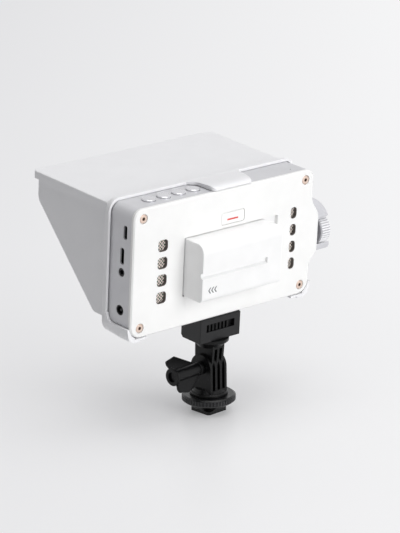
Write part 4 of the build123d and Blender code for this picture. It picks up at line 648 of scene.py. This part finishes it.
def seen_directly(tree):
    """1 to the eye, in a reflection and through glass, and 0 where only light is given."""
    path = add(tree, "ShaderNodeLightPath")
    seen = add(tree, "ShaderNodeMath", {0: path.outputs["Is Camera Ray"],
                                        1: path.outputs["Is Glossy Ray"]}, operation="MAXIMUM")
    seen = add(tree, "ShaderNodeMath", {0: seen.outputs["Value"],
                                        1: path.outputs["Is Transmission Ray"]},
               operation="MAXIMUM")
    return seen.outputs["Value"]


def floor_sheet():
    """Satin acrylic: a soft reflection near the foot, a pale ground far off, with painted shade towards the
    camera's left and painted light towards its right.
    """
    material, tree, shader = finish_of(
        "satin_acrylic_sheet", IOR=PLASTIC_IOR, Roughness=FLOOR_ROUGHNESS,
        Base_Color=srgb(FLOOR_SHEET), Specular_IOR_Level=FLOOR_SPECULAR)
    place = add(tree, "ShaderNodeTexCoord")
    along = add(tree, "ShaderNodeVectorMath", {0: place.outputs["Object"], 1: FLOOR_ACROSS},
                operation="DOT_PRODUCT")
    # Painted shade on the camera's left, painted light on its right, in the tone the sheet shows.
    side = add(tree, "ShaderNodeMapRange", {"Value": along.outputs["Value"],
                                            "From Min": FLOOR_DIM_AT,
                                            "From Max": FLOOR_BRIGHT_AT})
    tone = add(tree, "ShaderNodeMix", {"Factor": side.outputs["Result"],
                                       "A": srgb(FLOOR_PAINTED_SHADE), "B": srgb(FLOOR_PAINTED_LIGHT)},
               data_type="RGBA")
    glow = add(tree, "ShaderNodeEmission", {"Color": tone.outputs["Result"], "Strength": 1.0})
    away = add(tree, "ShaderNodeVectorMath", {0: place.outputs["Object"]}, operation="LENGTH")
    away = add(tree, "ShaderNodeMapRange", {"Value": away.outputs["Value"],
                                            "From Max": FLOOR_FAR})
    share = add(tree, "ShaderNodeMath", {0: away.outputs["Result"], 1: FLOOR_FALL},
                operation="POWER")
    share = add(tree, "ShaderNodeMath", {0: share.outputs["Value"], 1: FLOOR_GLOW},
                operation="MULTIPLY")
    share = add(tree, "ShaderNodeMath", {0: seen_directly(tree), 1: share.outputs["Value"]},
                operation="MULTIPLY")
    surface = add(tree, "ShaderNodeMixShader", {0: share.outputs["Value"],
                                                1: shader.outputs["BSDF"],
                                                2: glow.outputs["Emission"]})
    tree.links.new(surface.outputs["Shader"], tree.nodes["Material Output"].inputs["Surface"])
    return material


def make_floor():
    """A seamless pale sheet under the monitor, which keeps its shadow."""
    shape = bmesh.new()
    rectangle(shape, FLOOR_SIZE, FLOOR_SIZE)
    mesh = bpy.data.meshes.new("floor")
    shape.to_mesh(mesh)
    shape.free()
    mesh.materials.append(floor_sheet())
    floor = bpy.data.objects.new("floor", mesh)
    bpy.context.scene.collection.objects.link(floor)


# ---- lamps and camera --------------------------------------------------------------------

SOFTBOXES = {                 # each lamp's place, its side's length and its power in watts
    "rear_softbox": ((-0.25, 2.05, 0.78), 1.5, 30.2),
    "overhead_softbox": ((-0.2, 0.1, 2.0), 1.6, 21.6),
}
LAMP_TARGET = (0, 0, 0.10)
ROOM_LIGHT = 0.2
ROOM_COLOUR = "F2F2F3"

VIEW_AZIMUTH = 135.21         # degrees, round the monitor from straight in front
VIEW_ELEVATION = 17.27        # degrees above the horizon
VIEW_DISTANCE = 1.8633
VIEW_CENTRE = (-16.14 * MM, -24.67 * MM, 92.88 * MM)
VIEW_LENS = 184.86            # focal length in mm, on the 36 mm sensor
VIEW_CLIP = (0.05, 30)


def aim(thing, place, target):
    """Puts a lamp or camera at a place, looking at a target."""
    thing.location = place
    line = Vector(target) - Vector(place)
    thing.rotation_euler = line.to_track_quat("-Z", "Y").to_euler()


def make_lights():
    """Square softboxes behind the cover and overhead, in a dim white room."""
    for name, (place, size, power) in SOFTBOXES.items():
        light = bpy.data.lights.new(name, "AREA")
        light.shape = "SQUARE"
        light.size = size
        light.energy = power
        lamp = bpy.data.objects.new(name, light)
        bpy.context.scene.collection.objects.link(lamp)
        aim(lamp, place, LAMP_TARGET)
    world = bpy.data.worlds.new("white_room")
    world.use_nodes = True
    tree = world.node_tree
    background = tree.nodes["Background"]
    background.inputs["Color"].default_value = srgb(ROOM_COLOUR)
    strength = add(tree, "ShaderNodeMapRange", {"Value": seen_directly(tree),
                                                "To Min": ROOM_LIGHT, "To Max": 1.0})
    tree.links.new(strength.outputs["Result"], background.inputs["Strength"])
    bpy.context.scene.world = world


def make_camera():
    """The camera, level and square to its line of sight."""
    data = bpy.data.cameras.new("camera")
    data.lens = VIEW_LENS
    data.clip_start, data.clip_end = VIEW_CLIP
    camera = bpy.data.objects.new("camera", data)
    bpy.context.scene.collection.objects.link(camera)
    turn = math.radians(VIEW_AZIMUTH)
    rise = math.radians(VIEW_ELEVATION)
    back = Vector((math.sin(turn) * math.cos(rise), -math.cos(turn) * math.cos(rise),
                   math.sin(rise)))
    aim(camera, Vector(VIEW_CENTRE) + back * VIEW_DISTANCE, VIEW_CENTRE)
    bpy.context.scene.camera = camera


finish_nodes()
for vent_column in VENT_COLUMNS:
    wire_cloth(vent_column)
    vent_liners(vent_column)
screw_sockets()
release_mark()
slide_chevrons()
make_floor()
make_lights()
make_camera()
bpy.context.scene.view_settings.view_transform = "Standard"
